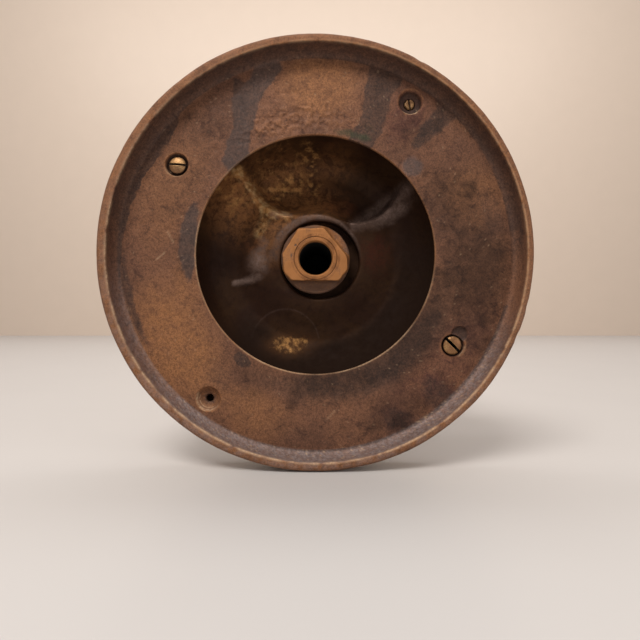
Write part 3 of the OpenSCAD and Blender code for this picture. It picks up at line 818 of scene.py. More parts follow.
RIDGE_RIGHT = [(19, 72), (20.5, 62), (23, 47), (26, 40.5), (31, 36), (36, 34.5), (43, 36.5), (50, 39.5),
               (56, 41)]
RIDGE_LEFT = [(19, 108), (21, 116), (24.7, 126), (30, 131), (36.6, 134), (43, 133), (50, 131.5), (56, 130)]
SHALLOW = [(18, 146.6), (20, 147), (22, 146.7), (26, 145.3), (31, 143.6), (37, 142.6), (43, 144.4),
           (48, 148.6),
           (51, 153.2), (53.1, 158.8)]
DEEP = [(18, 146.6), (20, 147), (21.2, 146.4), (22.6, 143.8), (24.6, 140.8), (28, 138.6), (33, 137.2),
        (40, 137.0),
        (45, 138.8), (48.5, 142.6), (51, 149.0), (52.4, 154.5), (53.1, 158.8)]


def across_ridge(ridge, r, deg):
    """Distance in mm from a ridge line, positive on its anticlockwise side."""
    line = np.interp(r, [q[0] for q in ridge], [q[1] for q in ridge])
    return np.radians(angle_diff(deg, line)) * r


def bowl_surface(u, v):
    r, deg = np.hypot(u, v), np.degrees(np.arctan2(v, u))
    from_right, from_left = across_ridge(RIDGE_RIGHT, r, deg), -across_ridge(RIDGE_LEFT, r, deg)
    upper = np.abs(angle_diff(deg, 85)) < 85
    pocket = smooth(-0.4, 2.4, from_right) * smooth(-1.0, 8.5, from_left) * upper
    shallow, deep = smoothed_profile(SHALLOW, r), smoothed_profile(DEEP, r, 0.7)
    s = shallow + (deep - shallow) * pocket
    reach = smooth(20, 25, r) * smooth(54, 46, r) * upper
    off = from_right + 1.2
    s = s + 1.9 * reach * bell_curve(np.minimum(off, 0), 4.6) * bell_curve(np.maximum(off, 0), 1.3)
    s = s + 1.7 * reach * bell_curve(from_left + 0.6, 2.6)
    s = s + 1.1 * bell_curve(u + 27, 5.0) * bell_curve(v + 1.5, 5.5)
    return s + 0.9 * bell_curve(u + 32, 5.5) * bell_curve(v + 10.2, 1.6)


def dome_station(r):
    """Station of the outside of the bowl, before its casting marks."""
    e = np.clip((r - DOME_IN_R) / DOME_WIDTH, 0, 1)
    return FLANGE_BACK_S - DOME_HEIGHT * np.sqrt(1 - e * e)


def bell_body():
    n = 540
    turn = np.arange(n) / n * TAU
    cosine, sine = np.cos(turn), np.sin(turn)
    wall = (2 * cosine + np.sqrt(BELL_WALL_R ** 2 - 4 * sine ** 2) + 0.15 * np.cos(3 * turn + 1)
            + 0.1 * np.cos(7 * turn))
    rows = Rows(n)
    for t in np.linspace(0, 1, 7)[:-1]:
        rows.add(BELL_BORE_R + (wall - 0.5 - BELL_BORE_R) * t, BELL_FLOOR_S)
    rows.add(wall - 0.15, BELL_FLOOR_S + 0.12)
    for s in (141.2, 142.4, 143.6, 144.8):
        rows.add(wall, s)
    lip = 1.3
    lip_r = wall + lip
    lip_s = bowl_surface(lip_r * cosine, lip_r * sine)
    for a in (20, 45, 70):
        rows.add(wall + lip * (1 - cosd(a)), lip_s - lip * (1 - sind(a)))
    for t in np.linspace(0, 1, 66):
        r = lip_r + (BOWL_EDGE_R - lip_r) * t
        rows.add(r, bowl_surface(r * cosine, r * sine))
    rows.add_all([(r, FLANGE_S) for r in (53.25, 56, 62, 68, 74, 80, 82.6)]
                 + [(FLANGE_R, s) for s in (158.7, 157.2, 155.7, 154.3)])
    first_back = len(rows.radius)
    back_radii = np.concatenate([np.linspace(82.6, 64.5, 22), np.linspace(63.6, 28.5, 42)])
    rows.add_all([(r, dome_station(r)) for r in back_radii])
    after_back = len(rows.radius)
    rows.add_all([(r, BELL_REAR_S) for r in (27.2, 24.0, 20.0, 16.0, 12.0, 10.0)]
                 + [(BELL_BORE_R, s) for s in (132.2, 134.5, 137.5, 140.2)])
    radius, station = rows.arrays()
    back = slice(first_back, after_back)
    station[:, back] = with_bosses(radius[:, back], station[:, back], cosine[:, None], sine[:, None])
    return lathe("cast_bell", radius, station)


def with_bosses(r, s, cosine, sine):
    """The back of the shell with its rounded root and the four low bosses round the screws."""
    u, v = r * cosine, r * sine
    s = s - 3.2 * np.exp(-np.maximum(r - 61.5, 0) / 2.2) * smooth(60, 64.2, r)
    soft, middle = 0.6, 150.0
    for place in SCREWS:
        x, z = screw_at(place)
        d = np.hypot(u - x, v - z)
        boss = FLANGE_BACK_S - 4.0 * smooth(8.6, 5.9, d)
        blend = middle - soft * np.log(np.exp((middle - s) / soft) + np.exp((middle - boss) / soft))
        s = np.where(d < 11, np.minimum(s, blend + 0.4), s)
    return s


def cut_bell(bell):
    hole = [(AXIS_R, 162), (THREAD_R, 162), (THREAD_R, 151.6), (AXIS_R, 150.8)]
    cutters = [turned("cut_" + place, hole, 28, screw_at(place), False) for place in SCREWS]
    pin = [(AXIS_R, 130), (PIN_R, 130), (PIN_R, 136), (AXIS_R, 136)]
    boolean(bell, cutters + [turned("cut_pin", pin, 24, (0, PIN_UP), False)])


class BellMarks:
    """Masks for marks in the bowl, whose outlines waver a little."""

    def __init__(self, g):
        self.u, self.v = g.u + 1.2 * g.noise(3.6, 121, 3), g.v + 1.2 * g.noise(3.6, 123, 3)

    def spot(self, x, z, a, b, turn=0.0, soft=0.5):
        c, q = cosd(turn), sind(turn)
        du, dv = self.u - x, self.v - z
        return smooth(1 + soft, 1 - soft, np.hypot((du * c + dv * q) / a, (dv * c - du * q) / b))

    def line(self, x0, z0, x1, z1, width):
        dx, dz = x1 - x0, z1 - z0
        t = np.clip(((self.u - x0) * dx + (self.v - z0) * dz) / (dx * dx + dz * dz), 0, 1)
        return smooth(width, 0.2 * width, np.hypot(self.u - x0 - t * dx, self.v - z0 - t * dz))

    def strongest(self, spots, lines=()):
        """The strongest of several spots and lines, each with its strength first."""
        return most(*(row[0] * self.spot(*row[1:]) for row in spots),
                    *(row[0] * self.line(*row[1:]) for row in lines))


# Spots as rows of strength, right, up, half sizes, turn and softness. Lines as strength, ends and width.
# The low patch on the lower left carries a painted reflection, and the painted shade is kept off it
LOW_PATCH = (-12, -38.7, 10, 5, 0, 0.9)
# Worn gold patches, the last of them painting the low patch's reflection
WORN_AND_SHEEN_SPOTS = [(0.85, -15, 35.5, 10, 5.5, 10), (0.55, -3, 46.5, 6, 6), (0.6, -1, 37, 4, 6),
              (0.42, -12, 42, 19, 11),
              (0.62, -36, 30, 9, 10), (0.6, -11.5, -38.7, 9, 4.2)]
# Gold lines along the ridges, which also carry painted highlights
WORN_AND_LIT_LINES = [(0.75, -34, 38, -25.5, 26.5, 3.4), (1.0, -26, 27, -20, 22, 4.2),
              (0.95, -20, 22.5, -13, 20, 3.4),
              (0.5, -24, 20, -26, 12, 3.5)]
GLOW_SPOTS = [(0.8, -24, 21, 13, 9, -40, 0.9), (0.85, -35, 26, 12, 14, 0, 0.9),
              (0.7, -13, 38, 18, 10, 0, 0.9),
              (0.75, -4, 27, 14, 9, 0, 0.95), (0.5, -22, 8, 8, 10, 0, 0.9), (0.5, 8, 44, 9, 6, 0, 0.9),
              (0.22, *LOW_PATCH)]
GLOW_LINES = [(0.95, -31, 33, -14, 20.5, 11)]
# Painted reflections: grey spots and lines on the ridges and round the hub
REFLECTION_SPOTS = [(1.0, 33, 21, 8.0, 3.2, 26, 0.9), (0.95, -26.5, -1.2, 3.8, 4.4, 20, 0.95)]
REFLECTION_LINES = [(0.65, 19, 16.5, 39, 30, 5.5), (0.7, -19.5, 21.3, -12, 20.6, 2.6),
              (0.9, -37, -10.4, -32, -9.8, 2.2),
              (0.55, -33, -9.9, -26, -7.5, 3.0), (0.45, -27, 0, -24, 8, 4.0), (0.3, -16, 10, -19, 2, 4)]
RED_SPOTS = [(0.55, 28, 3, 9, 12, 0, 0.95), (0.5, 10, 26, 10, 6), (0.4, -28, 8, 6, 6)]


def make_bell():
    bell = bell_body()
    cut_bell(bell)
    g = Surface(bell)
    bowl = (smooth(18.6, 20.5, g.r) * smooth(53.0, 51.5, g.r) * (g.s > 136.2)
            * (g.s > dome_station(g.r) + 1.0))
    crater = smooth(21.5, 19.8, g.r) * smooth(17.0, 17.8, g.r) * smooth(144.5, 146.0, g.s)
    left_slope = bowl * smooth(-20, -30, g.u) * smooth(5, 18, g.v)
    gold_zone = bell_curve(g.u + 13, 12) * bell_curve(g.v - 37, 8)
    flakes = smooth(0.6, 1.0, 1 - np.abs(g.noise(2.0, 109, 2))) - 0.3
    lift = bowl * (0.28 * g.noise(11, 101, 2) + 0.10 * g.noise(3.4, 103, 2)
                   + 0.20 * left_slope * g.noise(2.2, 107, 2) + 0.30 * gold_zone * flakes)
    lift = lift + crater * (0.16 * g.noise(5, 115, 2) + 0.08 * g.noise(1.6, 117))
    outside = (g.s < FLANGE_BACK_S + 0.2) & (g.r > DOME_IN_R + 0.3) & (bowl < 0.01) & (g.r < 82.8)
    lift = lift - outside * (0.22 * g.noise(16, 111, 2) + 0.10 * g.noise(2.4, 113, 2))
    g.reshape(g.u, g.v, g.s + lift)

    marks = BellMarks(g)
    inner = ((bowl > 0.003) | (crater > 0.01) | (g.r < 22)) * (g.s > 136)
    mottle = g.scaled(-0.35, 0.5, 2.3, 127, 3)
    ridge = marks.strongest([], WORN_AND_LIT_LINES)
    arc = 0.17 * smooth(0.55, 0.15, np.abs(g.away(-14, -38) - 15.5)) * (g.v > -36)
    # Painted shade: down round the hub, on the right of the bowl, and on the lower right slope
    hollow = smooth(145.5, 143.5, g.s) * (g.r < 20.5)
    low_slope = smooth(34, 42, g.r) * g.facing(-65, 95, 60)
    worn = marks.strongest(WORN_AND_SHEEN_SPOTS) * (0.25 + 0.75 * mottle)
    pale = marks.strongest(REFLECTION_SPOTS, REFLECTION_LINES)
    # Painted highlights on the crater ring's top and along the ridge lines
    g.paint(gold=inner * most(worn, ridge * (0.55 + 0.45 * mottle)),
            bright=inner * ridge * g.scaled(-0.2, 0.5, 1.5, 131, 3),
            glow=inner * marks.strongest(GLOW_SPOTS, GLOW_LINES),
            grey=inner * most(0.8 * crater * g.facing(88, 105, 45), pale, arc),
            red=inner * marks.strongest(RED_SPOTS),
            dark=inner * most(0.30 * hollow, 0.5 * marks.spot(44, -2, 10, 22),
                              0.75 * low_slope * (1 - marks.spot(*LOW_PATCH))),
            outside=1.0 - inner)
    return bell


def bell_material():
    """The bowl is smooth and dark, with painted highlights, reflections and shade, and the outside is the
    same sand-cast bronze as the ring.
    """
    s = Shader("bell_bronze_cast")
    cloud = s.noise(19.0, 5.0, 0.6, 0.4)
    mottle = s.noise(3.4, 7.0, 0.68, 0.6)
    speck = s.noise(0.9, 5.0, 0.7)
    fine = s.noise(0.35, 3.0, 0.6)
    out = s.span(s.attr("outside"), 0.3, 0.7)
    inside = s.mix(s.span(cloud, 0.34, 0.68), srgb(42, 24, 15), srgb(54, 35, 21))
    inside = s.over(inside, srgb(33, 18, 12), s.span(mottle, 0.45, 0.75, 0.0, 0.7))
    outside = s.mix(s.span(cloud, 0.34, 0.68), srgb(100, 72, 54), srgb(122, 88, 62))
    outside = s.over(outside, srgb(66, 50, 42), s.span(mottle, 0.48, 0.72, 0.0, 0.8))
    outside = s.over(outside, srgb(68, 54, 50), s.span(s.noise(38.0, 4.0, 0.6, 0.5), 0.56, 0.66, 0.0, 0.55))
    colour = s.mix(out, inside, outside)
    colour = s.over(colour, srgb(72, 36, 25), s.masked(s.attr("red"), mottle, 0.45), 0.75)
    gold = s.masked(s.attr("gold"), s.noise(1.7, 7.0, 0.75, 0.9), 0.55)
    colour = s.over(colour, srgb(186, 138, 84), gold, 0.9)
    colour = s.over(colour, srgb(140, 94, 57), s.attr("glow"), s.span(mottle, 0.38, 0.58, 0.28, 1.0), 0.90)
    # Painted highlights along the ridges, painted reflections in grey, and painted shade in the dark tone
    # below
    colour = s.over(colour, srgb(206, 172, 122), s.attr("bright"), 0.75)
    colour = s.over(colour, srgb(120, 100, 92), s.attr("grey"), s.span(mottle, 0.30, 0.62, 1.0, 0.45))
    colour = s.over(colour, srgb(31, 19, 13), s.span(s.attr("dark"), 0.1, 0.8), 0.85)
    colour = s.over(colour, srgb(34, 25, 20), s.span(speck, 0.54, 0.28, 0.0, 0.45))
    roughness = s.math("ADD", s.span(mottle, 0.3, 0.7, 0.44, 0.62), s.product(out, 0.10))
    roughness = s.math("ADD", roughness, s.product(s.attr("dark"), 0.38), True)
    metal = s.math("ADD", s.span(cloud, 0.3, 0.7, 0.15, 0.30), s.product(s.attr("gold"), 0.3))
    relief = s.math("ADD", s.product(out, 0.8), 0.4)
    bumps = [(s.product(mottle, relief), 0.5, 0.0003), (s.product(speck, relief), 0.5, 0.00014),
             (fine, 0.2, 0.00005)]
    return s.finish(colour, roughness, metal, bumps, 0.10)


finish_piece(make_bell(), bell_material(), "nozzle", "bell_shell", 45)


# ---------------------------------------------------------------- hub
# Directions and distances of the facets cut on the hub's round front
HUB_FACETS = [(270, 9.9), (40, 11.4), (92, 13.3), (147, 13.4), (186, 14.5), (0, 14.1), (222, 14.4),
              (-38, 14.2)]


def hub_outline(deg):
    """Radius of the hub's front face, worn at the corners."""
    r = np.full(len(deg), 15.1)
    for at, distance in HUB_FACETS:
        d = np.radians(angle_diff(deg, at))
        r = np.minimum(r, np.where(np.abs(d) < 1.3, distance / np.maximum(np.cos(d), 0.2), 99))
    wide = np.concatenate([r[-4:], r, r[:4]])
    return np.convolve(wide, [1, 2, 3, 4, 5, 4, 3, 2, 1], "valid") / 25.0


def hub_body():
    n, bore, mouth, side_r = 300, TUBE_R + 0.02, TUBE_R + 0.12, 15.45
    deg = np.arange(n) / n * 360
    ring = np.stack([cosd(deg), sind(deg), np.zeros(n)], 1)
    edge = hub_outline(deg) + 0.16 * noise(ring * 15, 2.4, 201, 2)
    drop = np.clip((15.4 - edge) / 5.0, 0, 1)
    chip = smooth(6, 1, np.abs(angle_diff(deg, 3)))
    shoulder = 152.4 - 3.4 * drop - 0.8 * smooth(0.0, 0.5, drop)
    rows = Rows(n)
    rows.add_all([(bore, s) for s in (142.2, 145.0, 148.0, 151.0, 152.6)] + [(mouth, HUB_S - 0.08)])
    for t in (0.05, 0.25, 0.45, 0.65, 0.82, 0.94):
        rows.add(mouth + (edge - 0.35 - mouth) * t, HUB_S)
    rows.add(edge - 0.30, HUB_S - 0.03)
    rows.add(edge - 0.08, HUB_S - 0.14 - 0.25 * chip)
    rows.add(edge + 0.06, HUB_S - 0.40 - 0.35 * chip)
    rows.add(edge + 0.18 + 0.25 * drop, np.minimum(0.5 * (shoulder + 152.6), 152.35))
    rows.add(np.minimum(edge + 0.35 + 0.6 * drop, side_r - 0.03), np.minimum(shoulder + 0.2, 152.1))
    inner = np.minimum(edge + 0.5 + 0.9 * drop, side_r - 0.01)
    for t in (0.2, 0.45, 0.7, 0.9):
        rows.add(inner + (side_r - inner) * t, shoulder - (shoulder - 148.9) * t ** 1.6)
    rows.add_all([(15.55, 148.3), (15.62, 147.6), (15.6, 146.2), (15.55, 144.6), (15.5, 143.0),
                  (15.35, 142.25),
                  (15.0, 142.0), (13.0, 142.0), (11.0, 142.0), (9.7, 142.02)])
    return lathe("worn_hub_nut", *rows.arrays())


def make_hub_nut():
    nut = hub_body()
    m = nut.modifiers.new("sub", "SUBSURF")
    m.levels = m.render_levels = 1
    apply_modifiers(nut)
    g = Surface(nut)
    front = smooth(148.0, 150.0, g.s) * smooth(9.6, 9.9, g.r)
    pits = front * g.scaled(0.55, 0.85, 1.5, 211)
    hand = (bell_curve(g.u + 8.2, 1.6) * bell_curve(g.v - 5.6, 1.4)
            + bell_curve(g.u + 0.2, 2.2) * bell_curve(g.v - 9.8, 0.8))
    grain = 0.10 * g.noise(3.0, 203, 2) + 0.05 * g.noise(0.9, 207, 1, (1, 1, 0.3))
    side = smooth(14.2, 15.0, g.r)
    g.swell(side * (0.10 * g.noise(4.0, 213, 2) + 0.05 * g.noise(1.2, 217, 2)),
            g.s + front * grain - 0.28 * pits * hand)
    scuffs = g.scaled(0.30, 0.55, 1.5, 221, 3, (1, 1, 0.35)) + g.scaled(0.25, 0.6, 4.5, 223, 2)
    # Dirt in pits and scuffs; painted shade on the sides down in the crater and round the bore; lighter on
    # the front's upper right
    dirt = (smooth(152.6, 151.6, g.s) * (0.62 + 0.3 * smooth(149, 146, g.s)) + 0.85 * pits * hand
            + 0.40 * front * scuffs + 0.5 * smooth(9.9, 9.6, g.r)
            - 0.35 * g.facing(40, 60, 20) * smooth(148.5, 149.5, g.s))
    # A rubbed bright rim on the front face, brighter on its upper left side
    rim = 0.8 * smooth(0.5, 0.1, np.abs(g.s - 152.85)) * smooth(10.5, 11.2, g.r)
    g.paint(dirt=dirt, polish=most(rim, 0.6 * g.facing(150, 75, 20) * smooth(152.3, 152.8, g.s)))
    return nut


def make_discharge_tube():
    profile = [(TUBE_BORE_R, CLAMP_S), (TUBE_R, CLAMP_S), (TUBE_R, 152.55), (9.35, 152.85), (8.0, 152.9),
               (7.78, 152.75), (7.42, 152.1), (TUBE_BORE_R, 151.6)]
    tube = turned("bored_discharge_tube", resampled(rounded(profile, 0.18, 3), 1.2), 128)
    g = Surface(tube)
    g.reshape(g.u, g.v, g.s + smooth(152, 152.7, g.s) * 0.05 * g.noise(1.6, 231, 2))
    # A polished bore edge, and painted shade down the bore in near black
    g.paint(polish=smooth(151.5, 152.0, g.s) * smooth(8.2, 7.95, g.r),
            soot=smooth(151.3, 150.3, g.s) * smooth(8.2, 7.6, g.r))
    return tube


# ---------------------------------------------------------------- screws
def screw_shank(start, stop):
    """The thread and the point of a ring screw, as (radius, station) pairs from start inward."""
    rows, s = [], start
    while s > stop:
        rows += [(THREAD_R, s), (THREAD_R, s - 0.15), (THREAD_ROOT_R, s - 0.40), (THREAD_ROOT_R, s - 0.52)]
        s -= THREAD_PITCH
    return rows + [(1.9, 152.8), (1.5, 152.5), (AXIS_R, 152.5)]


def slot_cutter(x, z, station, size, deg):
    """A box that cuts a screw slot, with its middle at right x, up z and station."""
    a, b, c = (length / 2 for length in size)
    co = np.array([(i * a, j * b, k * c) for i in (-1, 1) for j in (-1, 1) for k in (-1, 1)], float)
    u = co[:, 0] * cosd(deg) - co[:, 1] * sind(deg)
    v = co[:, 0] * sind(deg) + co[:, 1] * cosd(deg)
    faces = [(0, 1, 3, 2), (4, 6, 7, 5), (0, 4, 5, 1), (2, 3, 7, 6), (0, 2, 6, 4), (1, 5, 7, 3)]
    return build("slot", point(u + x, v + z, co[:, 2] + station), faces)


def make_ring_screw(name, place, head_r, slot_deg, slot_w, seed, tilt, darkening):
    x, z = screw_at(place)
    floor, slot_x, slot_z = HEAD_FLOOR_S, x + 0.1, z + 0.15
    dome = [(AXIS_R, floor + 1.35 + 1.25 * cosd(1))]
    dome += [(head_r * sind(a), floor + 1.35 + 1.25 * cosd(a)) for a in range(10, 91, 10)]
    under = [(head_r, floor + 0.9), (head_r - 0.05, floor + 0.45), (head_r - 0.2, floor + 0.1),
             (head_r - 0.4, floor), (2.2, floor), (THREAD_R, floor - 0.15)]
    screw = turned(name, dome + under + screw_shank(158.8, 153.2), 72, (x, z), False)
    boolean(screw, [slot_cutter(slot_x, slot_z, floor + 2.6, (2.4 * head_r, slot_w, 2.4), slot_deg)])
    g = Surface(screw)
    head = smooth(floor + 0.8, floor + 1.4, g.s)
    off = np.abs((g.v - slot_z) * cosd(slot_deg) - (g.u - slot_x) * sind(slot_deg)) - slot_w / 2
    burr = head * smooth(0.7, 0, off)
    lean = math.tan(math.radians(tilt)) * (g.v - z)
    grain = head * 0.06 * g.noise(1.3, seed, 2) + 0.08 * burr * g.noise(0.9, seed + 5)
    g.reshape(g.u, g.v, g.s + head * lean + grain)
    # Painted shade in the slot, round the head's rim where it meets the recess, under the head, and over the
    # head's lower half by the darkening amount
    slot_floor = smooth(0.12, -0.1, off) * smooth(floor + 2.45, floor + 1.9, g.s)
    rim = smooth(head_r - 0.5, head_r, g.away(x, z))
    g.paint(dirt=most(slot_floor, 0.75 * rim, smooth(floor + 1.2, floor + 0.8, g.s),
                      darkening * smooth(0.4, -0.8, g.v - z)),
            polish=0.6 * smooth(0.6, 0.05, off) * head * (1 - rim) * (off > -0.02))
    return screw


def make_stub():
    x, z = screw_at("top")
    broken = [(AXIS_R, 161.9), (0.7, 162.0), (1.35, 162.1), (1.8, 162.0), (2.03, 161.75), (THREAD_R, 161.4),
              (THREAD_R, 160.2)]
    profile = resampled(broken + screw_shank(160.0, 153.4), 0.45, False)
    stub = turned("snapped_screw_stub", profile, 56, (x, z), False)
    g = Surface(stub)
    top = smooth(161.2, 161.8, g.s)
    crack = bell_curve((g.u - x) * 0.97 + (g.v - z) * 0.2, 0.32)
    grain = 0.30 * g.noise(1.1, 241, 2) + 0.35 * g.noise(2.2, 243)
    g.reshape(g.u, g.v, g.s + top * (grain - 0.75 * crack + 0.1))
    # Painted shade in the crack and down the shank, over a dirty tone all round
    g.paint(dirt=most(0.95 * top * crack, smooth(161.5, 161.0, g.s), 0.42 + 0.2 * g.noise(0.8, 247, 2)),
            polish=0.25 * top * (1 - crack) * g.scaled(0.0, 0.4, 0.7, 249))
    return stub


HUB = worn_metal("hub_brass_worn", srgb(166, 112, 66), srgb(122, 78, 45), srgb(98, 72, 58), (0.40, 0.60),
                 0.40,
                 (2.2, 2.2, 0.35), 1.6, 0.75)
BRASS = worn_metal("brass_worn", srgb(176, 138, 92), srgb(132, 94, 64), srgb(46, 32, 25), (0.30, 0.5), 0.6)
finish_piece(make_hub_nut(), HUB, "nozzle", "hub_nut", 40)
finish_piece(make_discharge_tube(), HUB, "nozzle", "discharge_tube", 40)
finish_piece(make_ring_screw("round_left_ring_screw", "left", 3.65, -4, 0.95, 301, -4, 0.42), BRASS,
             "nozzle", "left_ring_screw", 40)
finish_piece(make_ring_screw("round_right_ring_screw", "right", 3.95, -45, 1.25, 311, 3, 0.0), BRASS,
             "nozzle", "right_ring_screw", 40)
finish_piece(make_stub(), BRASS, "nozzle", "broken_screw_stub", 50)


# ---------------------------------------------------------------- neck
def cut(obj, tools, operation="DIFFERENCE"):
    boolean(obj, tools, operation, "MANIFOLD")


def pin_tool(name, r, lo, hi, n=32, centre=(0.0, 0.0), where=point):
    """A plain solid cylinder between two heights."""
    return spun(name, [(0, lo), (r, lo), (r, hi), (0, hi)], n, centre, where)


def patina_marks(obj, seed, gold=1.0):
    """Bright worn edges, dark hollows and soft stains for a piece away from the face."""
    g = Surface(obj)
    out = standing_out(obj)
    wear = smooth(0.03, 0.22, out) * g.scaled(-0.5, 0.3, 5.0, seed, 3)
    hollow = smooth(-0.03, -0.20, out)
    stain = g.scaled(0.12, 0.45, 15.0, seed + 7, 4)
    g.paint(gold=gold * wear + 0.45 * g.scaled(0.1, 0.6, 12.0, seed + 3, 3) * (1 - hollow),
            dark=most(0.6 * stain, 0.9 * hollow), red=0.6 * g.scaled(0.2, 0.6, 10.0, seed + 11, 3),
            grey=0.30 * stain * g.scaled(0.0, 0.5, 7.0, seed + 13, 2),
            green=0.75 * hollow * g.scaled(0.15, 0.5, 6.0, seed + 17, 3))
    return g


def brass_marks(obj, seed):
    """Polished edges and dirty hollows for the machined brass pieces."""
    g = Surface(obj)
    out = standing_out(obj, 2)
    g.paint(polish=smooth(0.02, 0.12, out) * g.scaled(-0.6, 0.2, 3.0, seed, 2),
            dirt=most(smooth(-0.02, -0.10, out), 0.5 * g.scaled(0.15, 0.5, 6.0, seed + 3, 3)))
    return g


def neck_body():
    fillet = [(24 - 8.5 * cosd(a), 120 + 5.0 * sind(a)) for a in (0, 22, 45, 68, 88)]
    body = spun("neck_turned", [(0, 38.2), (27.5, 38.2), (27.5, 50.6), (17.0, 79.0), (15.5, 118.0)] + fillet
                + [(26.0, 125.0), (26.0, 132.2), (0, 132.2)], 160)
    half_flat, steps = 30.0, 240
    deg = np.arange(steps) * 360 / steps
    edge = half_flat / cosd((deg + 22.5) % 45 - 22.5)
    rows = Rows(steps)
    rows.add_all([(edge * 0.02, 38.4), (edge, 38.4), (edge, 50.6), (edge * 0.02, 50.6)])
    octagon = lathe("neck_octagon", *rows.arrays(), closed=False)
    barrel = spun("neck_barrel", [(0, -26.2), (20.1, -26.2), (20.1, -21.6), (19.3, -20.4), (19.3, 20.4),
                                  (20.1, 21.6), (20.1, 26.2), (0, 26.2)], 160, where=upright)
    neck = cast_solid("cast_neck", [body, octagon, barrel], 0.75, 9)
    roughened(neck, (0.16, 9.0, 401), (0.07, 2.2, 403))
    return neck


def make_neck():
    neck = neck_body()
    face = 25
    cut(neck, [block("trim_front", (-40, -140, -40), (40, -131, 40)),
               block("trim_rear", (-40, -39.6, -40), (40, -30, 40)),
               block("trim_top", (-23, -118, face), (23, -72, face + 5)),
               block("trim_low", (-23, -118, -face - 5), (23, -72, -face))])
    journal = [(0, 22), (JOURNAL_R - 1, 22), (JOURNAL_R, 23.0), (JOURNAL_R, 42.0), (0, 42.0)]
    cut(neck, [spun("journal", journal, 160)], "UNION")
    t = np.linspace(0, TAU, 29)[:-1]
    groove = turned("groove", np.stack([RACE_R + BALL_R * np.cos(t), RACE_S + BALL_R * np.sin(t)], 1), 160)
    waterway = [(0, 21), (21.6, 21), (21.6, 21.9), (21.0, 22.6), (21, 28), (TUBE_BORE_R, 66),
                (TUBE_BORE_R, CLAMP_S), (TUBE_R, CLAMP_S), (TUBE_R, 133), (0, 133)]
    seat_r, taper, reach = 12, 0.04, 27
    seat = [(0, -reach), (seat_r - taper * reach, -reach), (seat_r + taper * reach, reach), (0, reach)]
    stop = (15 * cosd(225), 15 * sind(225))
    cut(neck, [spun("waterway", waterway, 128), spun("plug_seat", seat, 128, where=upright), groove,
               pin_tool("pin_hole", PIN_R, 127, 133, centre=(0, PIN_UP)),
               pin_tool("screw_hole", 2.0, 6, 30, where=radial(-60, 128.0)),
               pin_tool("stop_hole", 1.5, 22, 28, 32, stop, upright)])
    g = patina_marks(neck, 411, 0.8)
    # Painted shade: the waterway's walls turned near black
    bore = np.interp(g.s, [22, 28, 66, 113, 113.1, 131], [21.3, 21.3, 7.5, 7.5, 9.6, 9.6])
    g.paint(soot=smooth(0.6, 0.0, g.r - bore) * smooth(24, 45, g.s))
    return neck


def swivel_body():
    n, thread_pitch, bore = 216, 2.82, JOURNAL_R + 0.06
    turn = np.arange(n) / n
    low, high, groove = 31.2, 33.0, 32.55
    outer = [(25.9, 0.0), (30.2, 0.0), (SWIVEL_WALL_R, 1.6), (SWIVEL_WALL_R, 19.6), (low, 20.4), (low, 21.8),
             (31.9, 22.4), (high, 23.6), (high, 26.4), (groove, 26.8), (groove, 27.2), (high, 27.6),
             (high, 33.0), (groove, 33.4), (groove, 33.8), (high, 34.2), (high, 36.8), (31.3, 38.5),
             (27.6, 38.5)]
    rows = Rows(n)
    rows.add_all(resampled(rounded(outer, 0.45, 2, False), 1.3, False))
    rows.add_all([(bore, s) for s in (38.1, 35.5, 33.2)])
    rows.add_all([(RACE_R + BALL_R * cosd(a), RACE_S - BALL_R * sind(a)) for a in np.linspace(-78, 78, 11)])
    rows.add_all([(bore, s) for s in (27.0, 24.5, 22.0, 19.5, 17.1)] + [(26.9, 17.0), (26.1, 17.0)])
    for s in np.arange(16.8, 0.5, -0.235):
        wave = np.abs(((s / thread_pitch + turn) % 1.0) * 2 - 1)
        ridge = smooth(0.28, 0.80, wave) * smooth(17.0, 15.6, s) * smooth(0.9, 3.2, s)
        rows.add(25.3 - 1.25 * ridge, s)
    rows.add(25.45, 0.35)
    return lathe("banded_swivel", *rows.arrays())


def make_swivel():
    swivel = swivel_body()
    filler = [(0, 28.2), (3.0, 28.2), (3.0, 32.6), (3.35, 33.4), (0, 33.4)]
    cut(swivel, [pin_tool("lug_hole", LUG_R, 29.6, 37, 64, where=radial(deg, LUG_S)) for deg in LUG_DEG]
        + [spun("filler_hole", filler, 48, where=radial(40, RACE_S))])
    g = Surface(swivel)
    knocks = g.scaled(0.62, 0.95, 6.0, 431) * smooth(22.5, 24.0, g.s)
    grain = 0.05 * g.noise(9.0, 433, 2) + 0.03 * g.noise(1.6, 437, 2)
    g.swell(smooth(30.4, 31.0, g.r) * (grain - 0.22 * knocks), g.s)
    patina_marks(swivel, 439)
    return swivel


